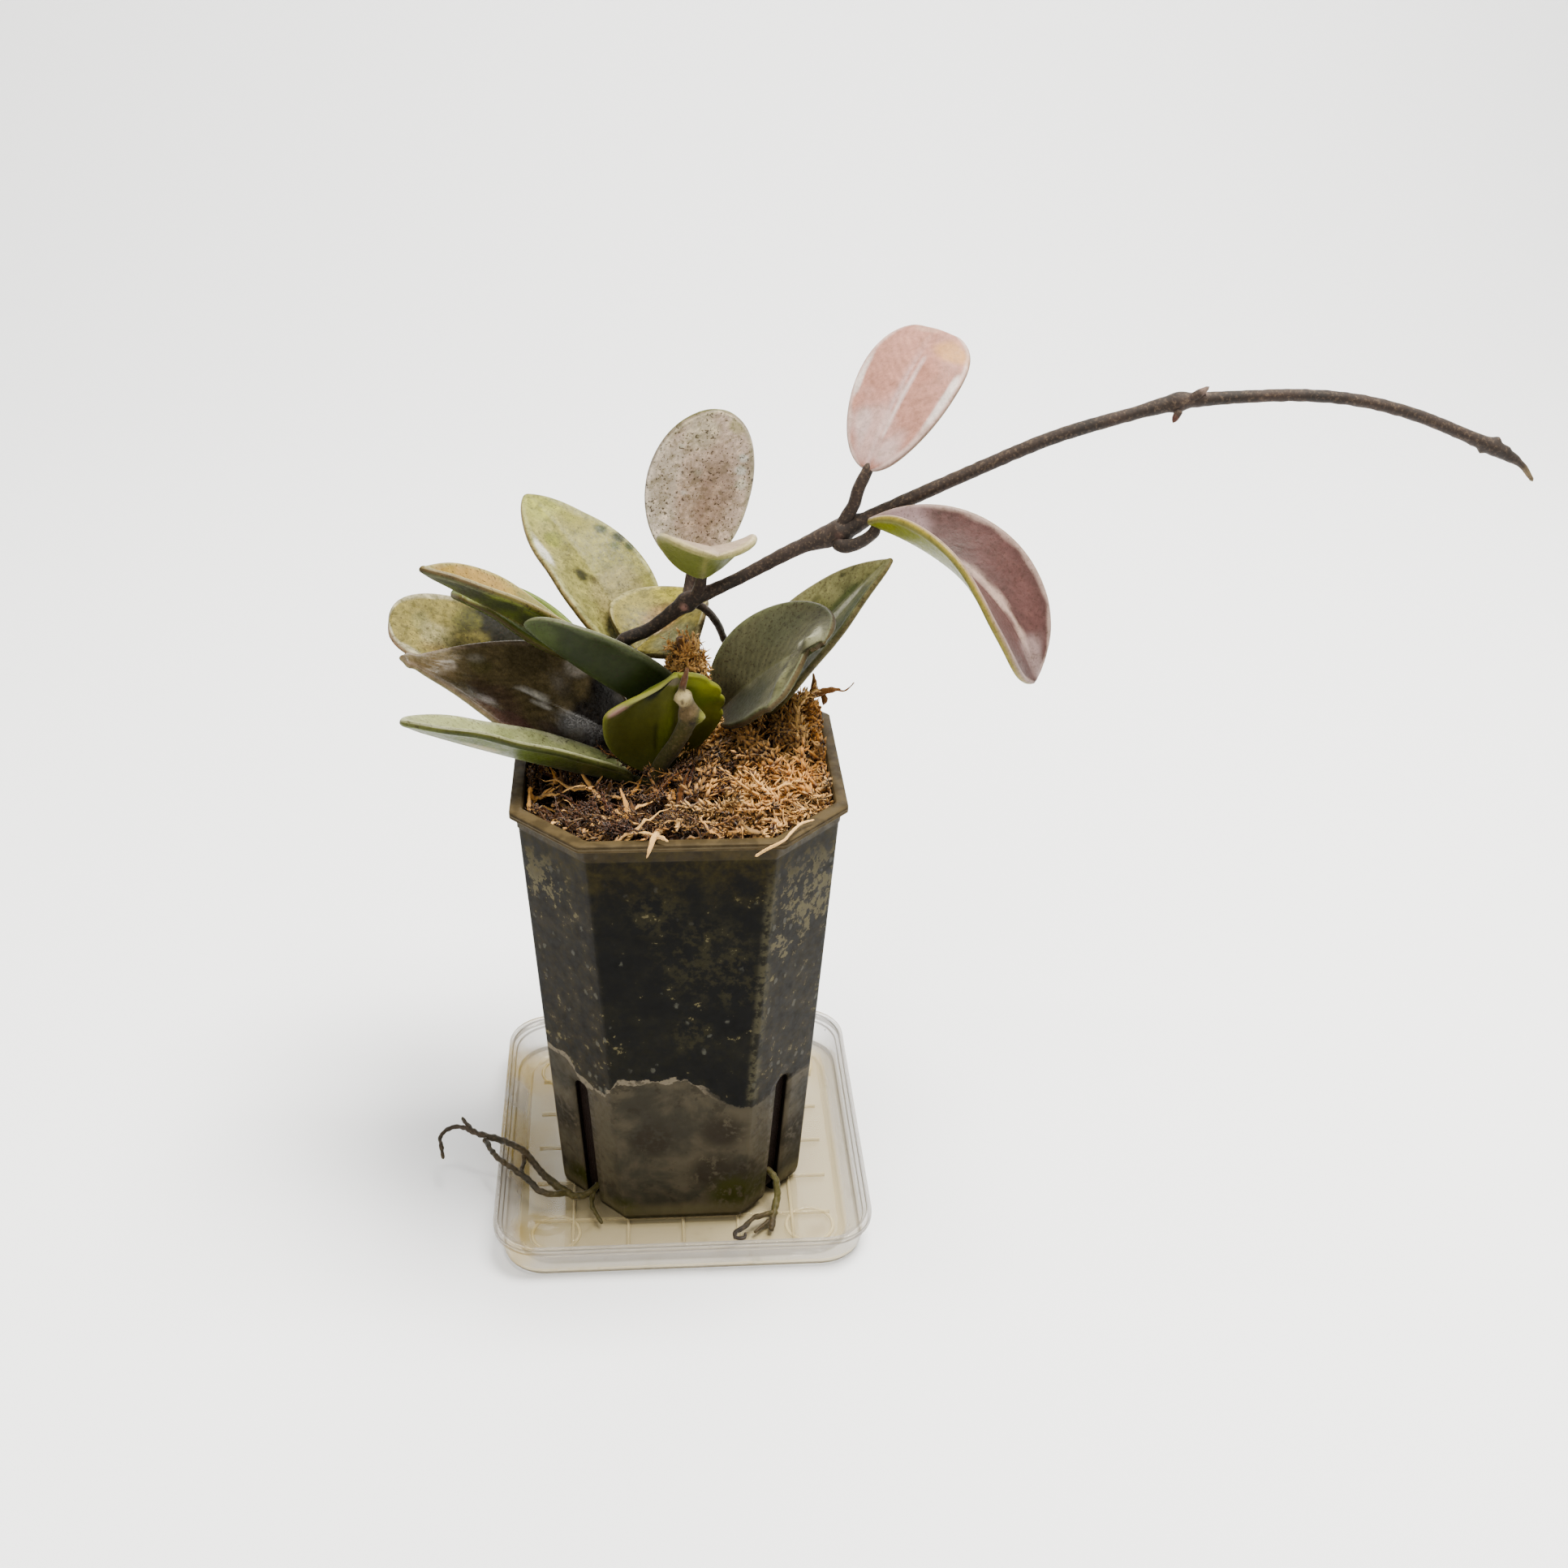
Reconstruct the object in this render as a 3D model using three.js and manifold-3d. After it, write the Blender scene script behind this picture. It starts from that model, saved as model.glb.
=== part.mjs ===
// Potted wax plant: a climbing plant with fifteen fleshy leaves in a square pot with cut corners,
// filled with moss, on a clear square saucer.
// Millimetres, +Z up, +X to the side that the long vine reaches, origin under the saucer's centre.

import * as THREE from 'three';
import Module from 'manifold-3d';
import { mergeVertices } from 'three/addons/utils/BufferGeometryUtils.js';

const wasm = await Module();
wasm.setup();

// Driving dimensions
const GAP = 0.3;
const SAUCER = {
  footHalf: 46.7, rimHalf: 49.2, height: 10.9, cornerRadius: 12, footRound: 0.6, rimBand: 2.2, rimStep: 0.7,
  rimThickness: 1.2, floorHalf: 42.5, floorThickness: 1.6, ribPitch: 14.5, ribHeight: 0.7, ribWidth: 0.9, ribStep: 0.15,
};
const POT = {
  bottomHalf: 31.7, topHalf: 38.3, cornerLeg: 16.3, wall: 1.3, floorThickness: 1.4, footRound: 2.2, edgeRound: 0.8,
  rimTop: 124.7, rimBand: 1.8, rimHalf: 40.0, slotWidth: 3.0, slotTop: 45, slotDepth: 5,
};
POT.foot = SAUCER.floorThickness + SAUCER.ribHeight + GAP;
const MOSS = {
  level: 119.0, frontRise: 2.6, cell: 3.8, relief: 0.8, strands: 48, strandRadius: 1.0, strandLength: [8, 14],
  mound: { x: 29, y: 21, height: 9.5, spread: 11.5 },
  shoulder: { x: 20, y: -12, height: 3, spread: 14 },
  crown: { x: 0, y: 20, height: 5, spread: 10 },
  clump: [[0, 19, 112, 8.5], [0.5, 17.5, 124, 7], [1.5, 15, 134, 5.6], [2.6, 12.8, 143, 4.8], [2.2, 11.6, 149.5, 3.2],
    [1, 11.4, 152.5, 1]],
  clumpStrands: 10,
};
const BLADE = { thickness: 1.6, margin: 0.8, rows: 12, columns: 7, firstU: 0.02, lastU: 0.998 };
const PETIOLE_RADIUS = 1.05;

// Colours, as seen on the real plant
const COLOUR = {
  saucer: 0xcfc9a8, pot: 0x47463c, moss: 0xb08a5c, stem: 0x3a2c22, stub: 0x4f4630, root: 0x55502c,
  silver: 0xa9a890, green: 0x5d6a3c, dark: 0x3c2f2a, pink: 0xb08f8c, maroon: 0x6d4c4a, cream: 0xb9a78c,
};

// Leaves: the blade's base, length, greatest width, heading and pitch of the midrib's start, roll about it,
// then how far (degrees) the midrib arches down, swings left and twists by the tip, the fold of each half
// at base and tip, the halves' own curl, and the two powers of the outline (towards base, towards tip).
const LEAVES = {
  leaf_left_grey: {
    base: [-10.3, 29.3, 141.9], length: 50.2, width: 29.2, heading: 135.6, pitch: 55.4, roll: -3.0, arch: 32.7,
    archPower: 0.94, sickle: 2.0, twist: -3.1, fold: [10.2, -3.9], curl: 22.0, outline: [0.39, 0.72], colour: 'silver',
  },
  leaf_behind_vine: {
    base: [-10.2, 19.3, 145.0], length: 23.4, width: 31.2, heading: 44.9, pitch: 17.2, roll: 14.7, arch: -39.8,
    archPower: 1.16, sickle: -40.5, twist: -18.0, fold: [32.8, -0.9], curl: -10.9, outline: [0.35, 0.59], colour: 'cream',
  },
  leaf_left_brown: {
    base: [-21.2, 13.1, 147.0], length: 49.9, width: 23.4, heading: 189.5, pitch: 35.5, roll: 19.3, arch: 2.5,
    archPower: 0.96, sickle: 16.2, twist: -19.3, fold: [36.9, 49.4], curl: -24.0, outline: [0.57, 0.86], colour: 'cream',
  },
  leaf_left_narrow: {
    base: [-20.5, 16.8, 143.9], length: 38.6, width: 18.5, heading: 163.6, pitch: 24.5, roll: -17.8, arch: -7.2,
    archPower: 0.99, sickle: 12.1, twist: 15.8, fold: [19.1, 37.8], curl: 5.6, outline: [0.69, 0.56], colour: 'green',
  },
  leaf_left_silver: {
    base: [-20.0, 27.4, 132.4], length: 55.0, width: 25.0, heading: 178.7, pitch: 21.4, roll: -30.1, arch: -8.5,
    archPower: 1.01, sickle: 10.5, twist: 4.5, fold: [9.8, 3.7], curl: 2.5, outline: [0.51, 0.36], colour: 'silver',
  },
  leaf_left_dark: {
    base: [-10.7, 8.5, 125.4], length: 61.9, width: 30.7, heading: 159.8, pitch: 20.7, roll: -42.1, arch: -27.2,
    archPower: 0.82, sickle: 22.8, twist: 33.5, fold: [13.8, -3.6], curl: 20.8, outline: [0.75, 1.22], colour: 'dark',
  },
  leaf_over_dark: {
    base: [0.7, 2.0, 136.3], length: 46.0, width: 23.8, heading: 208.7, pitch: 24.8, roll: 34.6, arch: -33.9,
    archPower: 0.6, sickle: -14.9, twist: -4.9, fold: [49.6, 33.0], curl: -6.4, outline: [0.39, 0.49], colour: 'green',
  },
  leaf_front_left: {
    base: [-11.1, -2.1, 121.0], length: 62.1, width: 21.6, heading: 196.5, pitch: 18.4, roll: 7.8, arch: -11.2,
    archPower: 0.6, sickle: 10.0, twist: 7.0, fold: [38.0, 17.9], curl: 1.2, outline: [0.48, 0.55], colour: 'silver',
  },
  leaf_front: {
    base: [-4.4, 0.9, 121.3], length: 35.5, width: 30.6, heading: -86.6, pitch: 72.6, roll: 14.6, arch: 12.4,
    archPower: 1.48, sickle: 9.6, twist: -11.3, fold: [9.9, 18.1], curl: -19.0, outline: [0.62, 0.54], colour: 'green',
  },
  leaf_right_broad: {
    base: [10.8, 16.2, 128.6], length: 43.2, width: 34.0, heading: -22.4, pitch: 53.6, roll: 46.1, arch: -3.4,
    archPower: 0.99, sickle: -28.4, twist: -33.4, fold: [28.0, -7.9], curl: 10.0, outline: [0.56, 0.45], colour: 'dark',
  },
  leaf_right_pointed: {
    base: [19.1, 22.4, 124.7], length: 56.5, width: 26.3, heading: -4.6, pitch: 61.0, roll: 22.8, arch: 18.5,
    archPower: 1.03, sickle: -3.9, twist: -0.6, fold: [15.4, 13.3], curl: 3.4, outline: [0.51, 0.85], colour: 'green',
  },
  leaf_first_node_back: {
    base: [4.3, 17.6, 168.9], length: 42.1, width: 26.4, heading: 83.4, pitch: 78.8, roll: 17.3, arch: -38.1,
    archPower: 1.05, sickle: -8.4, twist: 5.5, fold: [3.8, 5.6], curl: -8.7, outline: [0.5, 0.51], colour: 'silver',
  },
  leaf_first_node_front: {
    base: [6.3, 9.8, 169.3], length: 28.2, width: 24.9, heading: -83.8, pitch: 59.2, roll: -1.2, arch: 58.9,
    archPower: 1.19, sickle: 2.6, twist: -3.5, fold: [34.0, 4.3], curl: 2.3, outline: [0.35, 0.51], colour: 'green',
  },
  leaf_second_node_back: {
    base: [44.9, 8.5, 196.3], length: 39.6, width: 26.0, heading: 47.8, pitch: 61.6, roll: 2.3, arch: 37.1,
    archPower: 1.11, sickle: 0.1, twist: 5.5, fold: [-1.3, -2.2], curl: -7.0, outline: [0.51, 0.3], colour: 'pink',
  },
  leaf_second_node_front: {
    base: [45.1, 5.3, 185.6], length: 57.4, width: 30.8, heading: -31.1, pitch: -10.2, roll: -4.3, arch: 60.6,
    archPower: 1.39, sickle: 0.9, twist: 14.1, fold: [51.6, 4.8], curl: 15.7, outline: [0.78, 0.71], colour: 'maroon',
  },
};

// Stem and root routes: x, y, z and the radius at each point
const MAIN_VINE = [
  [-4.5, 25.5, 110, 1.7], [-5, 24.5, 127, 1.7], [-7.5, 21, 137, 1.6], [-11, 15.5, 146, 1.6], [-12.8, 12, 151.6, 1.8],
  [-6.4, 12, 154.8, 1.5], [0.2, 12.3, 159.8, 1.7], [2.7, 12.5, 161.6, 2.4], [6.2, 12.4, 163.4, 1.6], [14.3, 12, 167.5, 1.4],
  [29.7, 10.5, 176.6, 1.5], [36.4, 9.8, 179.6, 2.2], [39.2, 9.5, 180.9, 2.8], [42.6, 9.3, 182.7, 2.1],
  [46.5, 8.9, 184.9, 1.5], [69.7, 7, 196.8, 1.4], [87.7, 5.5, 205.4, 1.4], [105.8, 4, 211.6, 1.4], [112, 3.5, 213.6, 1.8],
  [115.3, 3.2, 214.5, 2.2], [118.6, 3, 214.9, 1.6], [130.4, 2, 216, 1.35], [142.8, 1, 216.6, 1.35],
  [155.4, 0, 215.8, 1.35], [168.6, -1, 212.9, 1.4], [182.3, -2, 208, 1.5], [189.3, -2.5, 205.2, 1.9],
  [193, -2.8, 203.4, 1.4], [196.6, -3, 201.2, 0.8], [200.1, -3.2, 197.3, 0.5],
];
const THIN_SHOOT = [
  [3.4, 13, 161, 1], [6, 15.5, 159.4, 1], [9.8, 21, 153.4, 1], [12.9, 28.5, 143.6, 0.95], [15, 32.3, 136, 0.95],
  [15.5, 32.5, 126, 0.95], [15.5, 32.5, 110, 0.95],
];
const FRONT_STUB = [
  [-6.4, 0, 110, 1.7], [-5.9, -1.4, 118.7, 1.7], [-4.2, -4.2, 125.7, 1.6], [-0.6, -7.2, 133.1, 1.6], [1.7, -9.1, 138.9, 1.7],
  [2.6, -10.3, 143, 2.3], [2, -11.2, 146.8, 1.5], [1.2, -12.2, 149.2, 0.7], [0.1, -13.4, 152.9, 0.5],
];
const MIDDLE_STEM = [[-4.5, 6.5, 110, 1.8], [-4, 6.2, 122, 1.8], [-2.2, 5.4, 130, 1.7], [1.2, 4.6, 133.6, 1.4]];
const RIGHT_STEM = [[12.5, 21.5, 110, 1.8], [13, 21, 117, 1.8], [13.6, 20.6, 122, 1.7]];
const LEFT_ROOT = [
  [-17.5, -17.5, 10, 1], [-21, -21, 9, 1], [-24.4, -24.4, 7.4, 1.1], [-28, -25.3, 6.8, 1.2], [-32.4, -23.4, 8, 1.3],
  [-37.4, -19.4, 10, 1.2], [-42.5, -14, 13.2, 1.1], [-47.8, -11.6, 14.8, 1.1], [-53.2, -10, 15.6, 1.1], [-56.4, -8.8, 16.4, 0.9],
  [-59.2, -5.4, 18.4, 0.6],
];
const LEFT_ROOT_FORK = [
  [-30.5, -24.4, 7.4, 1], [-34, -25.8, 8.2, 1.1], [-37.6, -25.4, 9, 1.1], [-40.6, -22.8, 10.4, 1], [-46.2, -19.6, 13.2, 1],
  [-49.6, -17.2, 14.6, 0.9], [-53, -11, 15.5, 0.9],
];
const LEFT_ROOT_HOOK = [[-56, -9.2, 16.2, 0.8], [-58.8, -7.6, 16.4, 0.8], [-61.2, -6.8, 16.2, 0.8], [-64.8, -8.8, 15, 0.7],
  [-64.4, -12, 13.4, 0.7], [-63.8, -14.9, 12, 0.5]];
const LEFT_ROOT_LINK = [[-42.3, -14.2, 13.1, 0.7], [-42.3, -17, 12.2, 0.7], [-42.8, -21.3, 11.4, 0.7]];
const LEFT_ROOT_STRAY = [[-23.4, -23.6, 7.8, 0.8], [-24.2, -27, 5.6, 0.8], [-22.6, -30.6, 4.2, 0.7], [-21.4, -32.8, 3.7, 0.5]];
const RIGHT_ROOT = [
  [17.5, -17.5, 13.5, 1], [21, -21, 12.6, 1], [24.6, -24.6, 10.2, 1.1], [25.2, -27.2, 6.8, 1.2], [24.2, -31, 4.4, 1.2],
  [23.4, -34.6, 3.8, 1.1], [22.9, -37.6, 3.6, 1],
];
const RIGHT_ROOT_CURL = [
  [23.9, -31.6, 4.4, 1], [21, -33.6, 5.4, 0.9], [18.5, -35, 6, 0.9], [15.7, -39, 6.6, 0.8], [13.4, -41, 6.9, 0.8],
  [13.2, -43.2, 7.2, 0.7], [15.6, -43.9, 7.6, 0.6], [15.8, -42.4, 8.2, 0.5],
];
const RIGHT_ROOT_FAINT = [[23, -33.4, 3.8, 0.7], [20.6, -35.8, 3.5, 0.7], [18.4, -37.8, 3.4, 0.5]];

const vector = ([x, y, z]) => new THREE.Vector3(x, y, z);

function randomSource(seed) {
  let state = seed;
  return () => {
    state = (state + 0x6d2b79f5) | 0;
    let mixed = Math.imul(state ^ (state >>> 15), 1 | state);
    mixed = (mixed + Math.imul(mixed ^ (mixed >>> 7), 61 | mixed)) ^ mixed;
    return ((mixed ^ (mixed >>> 14)) >>> 0) / 4294967296;
  };
}

function geometryOf(points, triangles) {
  const geometry = new THREE.BufferGeometry();
  geometry.setAttribute('position', new THREE.Float32BufferAttribute(points.flatMap((p) => [p.x, p.y, p.z]), 3));
  geometry.setIndex(triangles.flat());
  return geometry;
}

// Closed skin through rings of equal count that turn anticlockwise about the direction of travel
function loft(rings) {
  const sides = rings[0].length;
  const last = (rings.length - 1) * sides;
  const points = rings.flat();
  const centre = (ring) => ring.reduce((sum, p) => sum.add(p), new THREE.Vector3()).divideScalar(sides);
  const start = points.push(centre(rings[0])) - 1;
  const end = points.push(centre(rings.at(-1))) - 1;
  const triangles = [];
  for (let j = 0; j < sides; j++) {
    const next = (j + 1) % sides;
    triangles.push([start, next, j], [end, last + j, last + next]);
    for (let row = 0; row < last; row += sides) {
      triangles.push([row + j, row + next, row + sides + next], [row + j, row + sides + next, row + sides + j]);
    }
  }
  return geometryOf(points, triangles);
}

// Round bar along a smooth route whose points carry their own radius
function tube(route, { sides = 8, steps = 2, grow = 0 } = {}) {
  const curve = new THREE.CatmullRomCurve3(route.map(vector), false, 'centripetal');
  const spans = route.length - 1;
  const rings = [];
  const across = new THREE.Vector3(0.3, 0.9, 0.2);
  for (let i = 0; i <= spans * steps; i++) {
    const along = i / steps;
    const span = Math.min(Math.floor(along), spans - 1);
    const radius = grow + THREE.MathUtils.lerp(route[span][3], route[span + 1][3], along - span);
    const tangent = curve.getTangent(along / spans);
    const centre = curve.getPoint(along / spans);
    if (grow && (i === 0 || i === spans * steps)) centre.addScaledVector(tangent, i ? grow : -grow);
    across.addScaledVector(tangent, -across.dot(tangent)).normalize();
    const up = new THREE.Vector3().crossVectors(tangent, across);
    rings.push(Array.from({ length: sides }, (_, j) => {
      const angle = (2 * Math.PI * j) / sides;
      return centre.clone().addScaledVector(across, radius * Math.cos(angle)).addScaledVector(up, radius * Math.sin(angle));
    }));
  }
  return loft(rings);
}

function solid(geometry) {
  const plain = geometry.clone();
  plain.deleteAttribute('normal');
  plain.deleteAttribute('uv');
  const merged = mergeVertices(plain);
  return new wasm.Manifold(new wasm.Mesh({
    numProp: 3,
    vertProperties: new Float32Array(merged.attributes.position.array),
    triVerts: new Uint32Array(merged.index.array),
  }));
}

const joined = (geometries) => geometries.map(solid).reduce((sum, next) => sum.add(next));

// The largest connected body of a solid, as a geometry
function mainBody(manifold) {
  const largest = manifold.decompose().reduce((best, next) => (next.volume() > best.volume() ? next : best));
  const mesh = largest.getMesh();
  const geometry = new THREE.BufferGeometry();
  geometry.setAttribute('position', new THREE.Float32BufferAttribute(mesh.vertProperties, 3));
  geometry.setIndex(Array.from(mesh.triVerts));
  return geometry;
}

// Saucer

function roundedSquare(half, z, radius = SAUCER.cornerRadius, steps = 5) {
  const ring = [];
  for (let corner = 0; corner < 4; corner++) {
    const middle = new THREE.Vector2(half - radius, half - radius).rotateAround(new THREE.Vector2(), (corner * Math.PI) / 2);
    for (let i = 0; i <= steps; i++) {
      const angle = (Math.PI / 2) * (corner + i / steps);
      ring.push(new THREE.Vector3(middle.x + radius * Math.cos(angle), middle.y + radius * Math.sin(angle), z));
    }
  }
  return ring;
}

function saucerGeometry() {
  const { footHalf, rimHalf, height, footRound, rimBand, rimStep, rimThickness, floorHalf, floorThickness } = SAUCER;
  const bandFoot = height - rimBand;
  const rimInner = rimHalf - rimThickness;
  const wallSlope = (rimInner - floorHalf) / (height - floorThickness);
  const tray = solid(loft([
    roundedSquare(footHalf - footRound, 0),
    roundedSquare(footHalf, footRound),
    roundedSquare(rimHalf - rimStep, bandFoot),
    roundedSquare(rimHalf, bandFoot + 0.2),
    roundedSquare(rimHalf, height),
    roundedSquare(rimInner, height),
    roundedSquare(floorHalf + wallSlope * 3, floorThickness + 1.6),
    roundedSquare(floorHalf, floorThickness, SAUCER.cornerRadius - 2),
  ]));
  const { ribPitch, ribHeight, ribWidth, ribStep } = SAUCER;
  const ribLength = 2 * floorHalf - 6;
  const ribs = [];
  for (let i = -2; i <= 2; i++) {
    const high = new THREE.BoxGeometry(ribWidth, ribLength, 2 * ribHeight);
    const low = new THREE.BoxGeometry(ribLength, ribWidth, 2 * (ribHeight - ribStep));
    ribs.push(high.translate(i * ribPitch, 0, floorThickness), low.translate(0, i * ribPitch, floorThickness));
  }
  return mainBody(tray.add(joined(ribs)));
}

// Pot

// Square with cut corners; inset moves all eight sides inwards by the same distance
function cutSquare(half, z, inset = 0, leg = POT.cornerLeg, round = POT.edgeRound) {
  const side = half - inset;
  const short = side - (leg - (2 - Math.SQRT2) * inset);
  const ring = [];
  for (let quarter = 0; quarter < 4; quarter++) {
    const turn = (quarter * Math.PI) / 2;
    const slant = round * Math.SQRT1_2;
    for (const [x, y] of [[side, short - round], [side - slant, short + slant], [short + slant, side - slant],
      [short - round, side]]) {
      const corner = new THREE.Vector2(x, y).rotateAround(new THREE.Vector2(), turn);
      ring.push(new THREE.Vector3(corner.x, corner.y, z));
    }
  }
  return ring;
}

const wallHalf = (z) => THREE.MathUtils.mapLinear(z, 4.5, 122.9, POT.bottomHalf, POT.topHalf);

function potGeometry() {
  const { foot, footRound, wall, floorThickness, rimTop, rimBand, rimHalf } = POT;
  const bandFoot = rimTop - rimBand;
  const floor = foot + floorThickness;
  const outside = [
    cutSquare(wallHalf(foot), foot, footRound),
    cutSquare(wallHalf(foot), foot + 0.3 * footRound, 0.3 * footRound),
    cutSquare(wallHalf(foot + footRound), foot + footRound),
    cutSquare(wallHalf(bandFoot), bandFoot),
    cutSquare(rimHalf, bandFoot),
    cutSquare(rimHalf, rimTop),
  ];
  const inside = [
    cutSquare(wallHalf(rimTop), rimTop, wall - 0.2),
    cutSquare(wallHalf(bandFoot), bandFoot, wall),
    cutSquare(wallHalf(floor + footRound), floor + footRound, wall),
    cutSquare(wallHalf(floor), floor, wall + footRound * 0.6),
  ];
  let body = solid(loft([...outside, ...inside]));
  const slotFoot = foot - 1;
  const slotLength = 3 * POT.slotDepth;
  for (let corner = 0; corner < 4; corner++) {
    const slot = new THREE.BoxGeometry(slotLength, POT.slotWidth, POT.slotTop - slotFoot);
    const reach = (2 * wallHalf(0.5 * POT.slotTop) - POT.cornerLeg) * Math.SQRT1_2;
    slot.translate(reach + slotLength / 2 - POT.slotDepth, 0, (POT.slotTop + slotFoot) / 2);
    slot.rotateZ((Math.PI / 4) * (2 * corner + 1));
    body = body.subtract(solid(slot));
  }
  return mainBody(body);
}

// Leaves

// Frame at a fraction of the midrib, before the blade is turned to its heading: along, across, up
function midribFrame(leaf, u) {
  const arch = THREE.MathUtils.degToRad(leaf.arch) * u ** leaf.archPower;
  const sickle = THREE.MathUtils.degToRad(leaf.sickle) * u;
  const twist = THREE.MathUtils.degToRad(leaf.twist) * u;
  const along = new THREE.Vector3(
    Math.cos(sickle) * Math.cos(arch), Math.sin(sickle) * Math.cos(arch), -Math.sin(arch));
  const across = new THREE.Vector3(-Math.sin(sickle), Math.cos(sickle), 0);
  across.applyAxisAngle(along, twist);
  return { along, across, up: new THREE.Vector3().crossVectors(along, across) };
}

// Turns a blade from its own frame to its place on the plant
function leafPlacement(leaf) {
  const [heading, pitch, roll] = [leaf.heading, leaf.pitch, leaf.roll].map(THREE.MathUtils.degToRad);
  const turn = new THREE.Matrix4().makeRotationZ(heading);
  turn.multiply(new THREE.Matrix4().makeRotationY(-pitch));
  turn.multiply(new THREE.Matrix4().makeRotationX(roll));
  return turn.setPosition(vector(leaf.base));
}

// Points of the midrib at equal fractions of its length
function midribPoints(leaf, count = 200) {
  const points = [new THREE.Vector3()];
  for (let i = 0; i < count; i++) {
    const ahead = midribFrame(leaf, i / count).along.add(midribFrame(leaf, (i + 1) / count).along);
    points.push(points[i].clone().addScaledVector(ahead, (0.5 * leaf.length) / count));
  }
  return points;
}

function halfWidth(leaf, u) {
  const [power, tipPower] = leaf.outline;
  const peak = power / (power + tipPower);
  return (0.5 * leaf.width * u ** power * (1 - u) ** tipPower) / (peak ** power * (1 - peak) ** tipPower);
}

// A point of the blade's middle surface and its normal there, v from -1 at the right margin to 1 at the left.
// Each half leaves the midrib at the fold's angle and then bends evenly by the curl.
function bladePoint(leaf, midrib, u, v, grow = 0) {
  const { along, across, up } = midribFrame(leaf, u);
  const place = THREE.MathUtils.clamp(u, 0, 1) * (midrib.length - 1);
  const before = Math.min(Math.floor(place), midrib.length - 2);
  const point = midrib[before].clone().lerp(midrib[before + 1], place - before);
  const reach = Math.abs(v) * (halfWidth(leaf, u) + grow);
  const fold = THREE.MathUtils.degToRad(THREE.MathUtils.lerp(leaf.fold[0], leaf.fold[1], u));
  const bend = THREE.MathUtils.degToRad(leaf.curl) * (reach / (0.5 * leaf.width));
  const chord = bend === 0 ? reach : (reach * Math.sin(bend / 2)) / (bend / 2);
  point.addScaledVector(across, Math.sign(v) * chord * Math.cos(fold + bend / 2));
  point.addScaledVector(up, chord * Math.sin(fold + bend / 2));
  const lean = v === 0 ? 0 : fold + bend;
  const normal = up.clone().multiplyScalar(Math.cos(lean)).addScaledVector(across, -Math.sign(v) * Math.sin(lean));
  if (v === 0) normal.divideScalar(Math.cos(fold));
  return { point, normal, along };
}

// Blade as one closed body: two faces split into the same triangles, the rim and two small end faces
function bladeGeometry(leaf, grow = 0) {
  const { rows, columns, firstU, lastU } = BLADE;
  const midrib = midribPoints(leaf);
  const placement = leafPlacement(leaf);
  const firstAngle = Math.acos(1 - 2 * firstU);
  const lastAngle = Math.acos(1 - 2 * lastU);
  const points = [];
  for (const side of [1, -1]) {
    for (let i = 0; i < rows; i++) {
      const u = (1 - Math.cos(THREE.MathUtils.lerp(firstAngle, lastAngle, i / (rows - 1)))) / 2;
      for (let j = 0; j < columns; j++) {
        const v = (2 * j) / (columns - 1) - 1;
        const { point, normal, along } = bladePoint(leaf, midrib, u, v, grow);
        const thickness = THREE.MathUtils.lerp(BLADE.thickness, BLADE.margin, v * v) + 2 * grow;
        point.addScaledVector(normal, (side * thickness) / 2);
        if (i === 0) point.addScaledVector(along, -grow);
        if (i === rows - 1) point.addScaledVector(along, grow);
        points.push(point.applyMatrix4(placement));
      }
    }
  }
  const top = (i, j) => i * columns + j;
  const under = (i, j) => (rows + i) * columns + j;
  const triangles = [];
  const quad = (a, b, c, d) => triangles.push([a, b, c], [a, c, d]);
  for (let i = 0; i < rows - 1; i++) {
    for (let j = 0; j < columns - 1; j++) {
      quad(top(i, j), top(i + 1, j), top(i + 1, j + 1), top(i, j + 1));
      triangles.push([under(i, j), under(i + 1, j + 1), under(i + 1, j)]);
      triangles.push([under(i, j), under(i, j + 1), under(i + 1, j + 1)]);
    }
    quad(under(i, columns - 1), top(i, columns - 1), top(i + 1, columns - 1), under(i + 1, columns - 1));
    quad(under(i, 0), under(i + 1, 0), top(i + 1, 0), top(i, 0));
  }
  for (let j = 0; j < columns - 1; j++) {
    quad(under(0, j), top(0, j), top(0, j + 1), under(0, j + 1));
    quad(under(rows - 1, j), under(rows - 1, j + 1), top(rows - 1, j + 1), top(rows - 1, j));
  }
  return geometryOf(points, triangles);
}

// Stems with their petioles

// Route from a stem, through any points between, to just short of a leaf's first row
function petioleRoute(leafName, between, radius = PETIOLE_RADIUS) {
  const leaf = LEAVES[leafName];
  const ahead = new THREE.Vector3(1, 0, 0).transformDirection(leafPlacement(leaf));
  const end = vector(leaf.base).addScaledVector(ahead, BLADE.firstU * leaf.length - 2.2 * GAP);
  const route = between.map((point) => [...point, radius]);
  route.push([...end.toArray(), 0.85 * radius]);
  return route;
}

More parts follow.
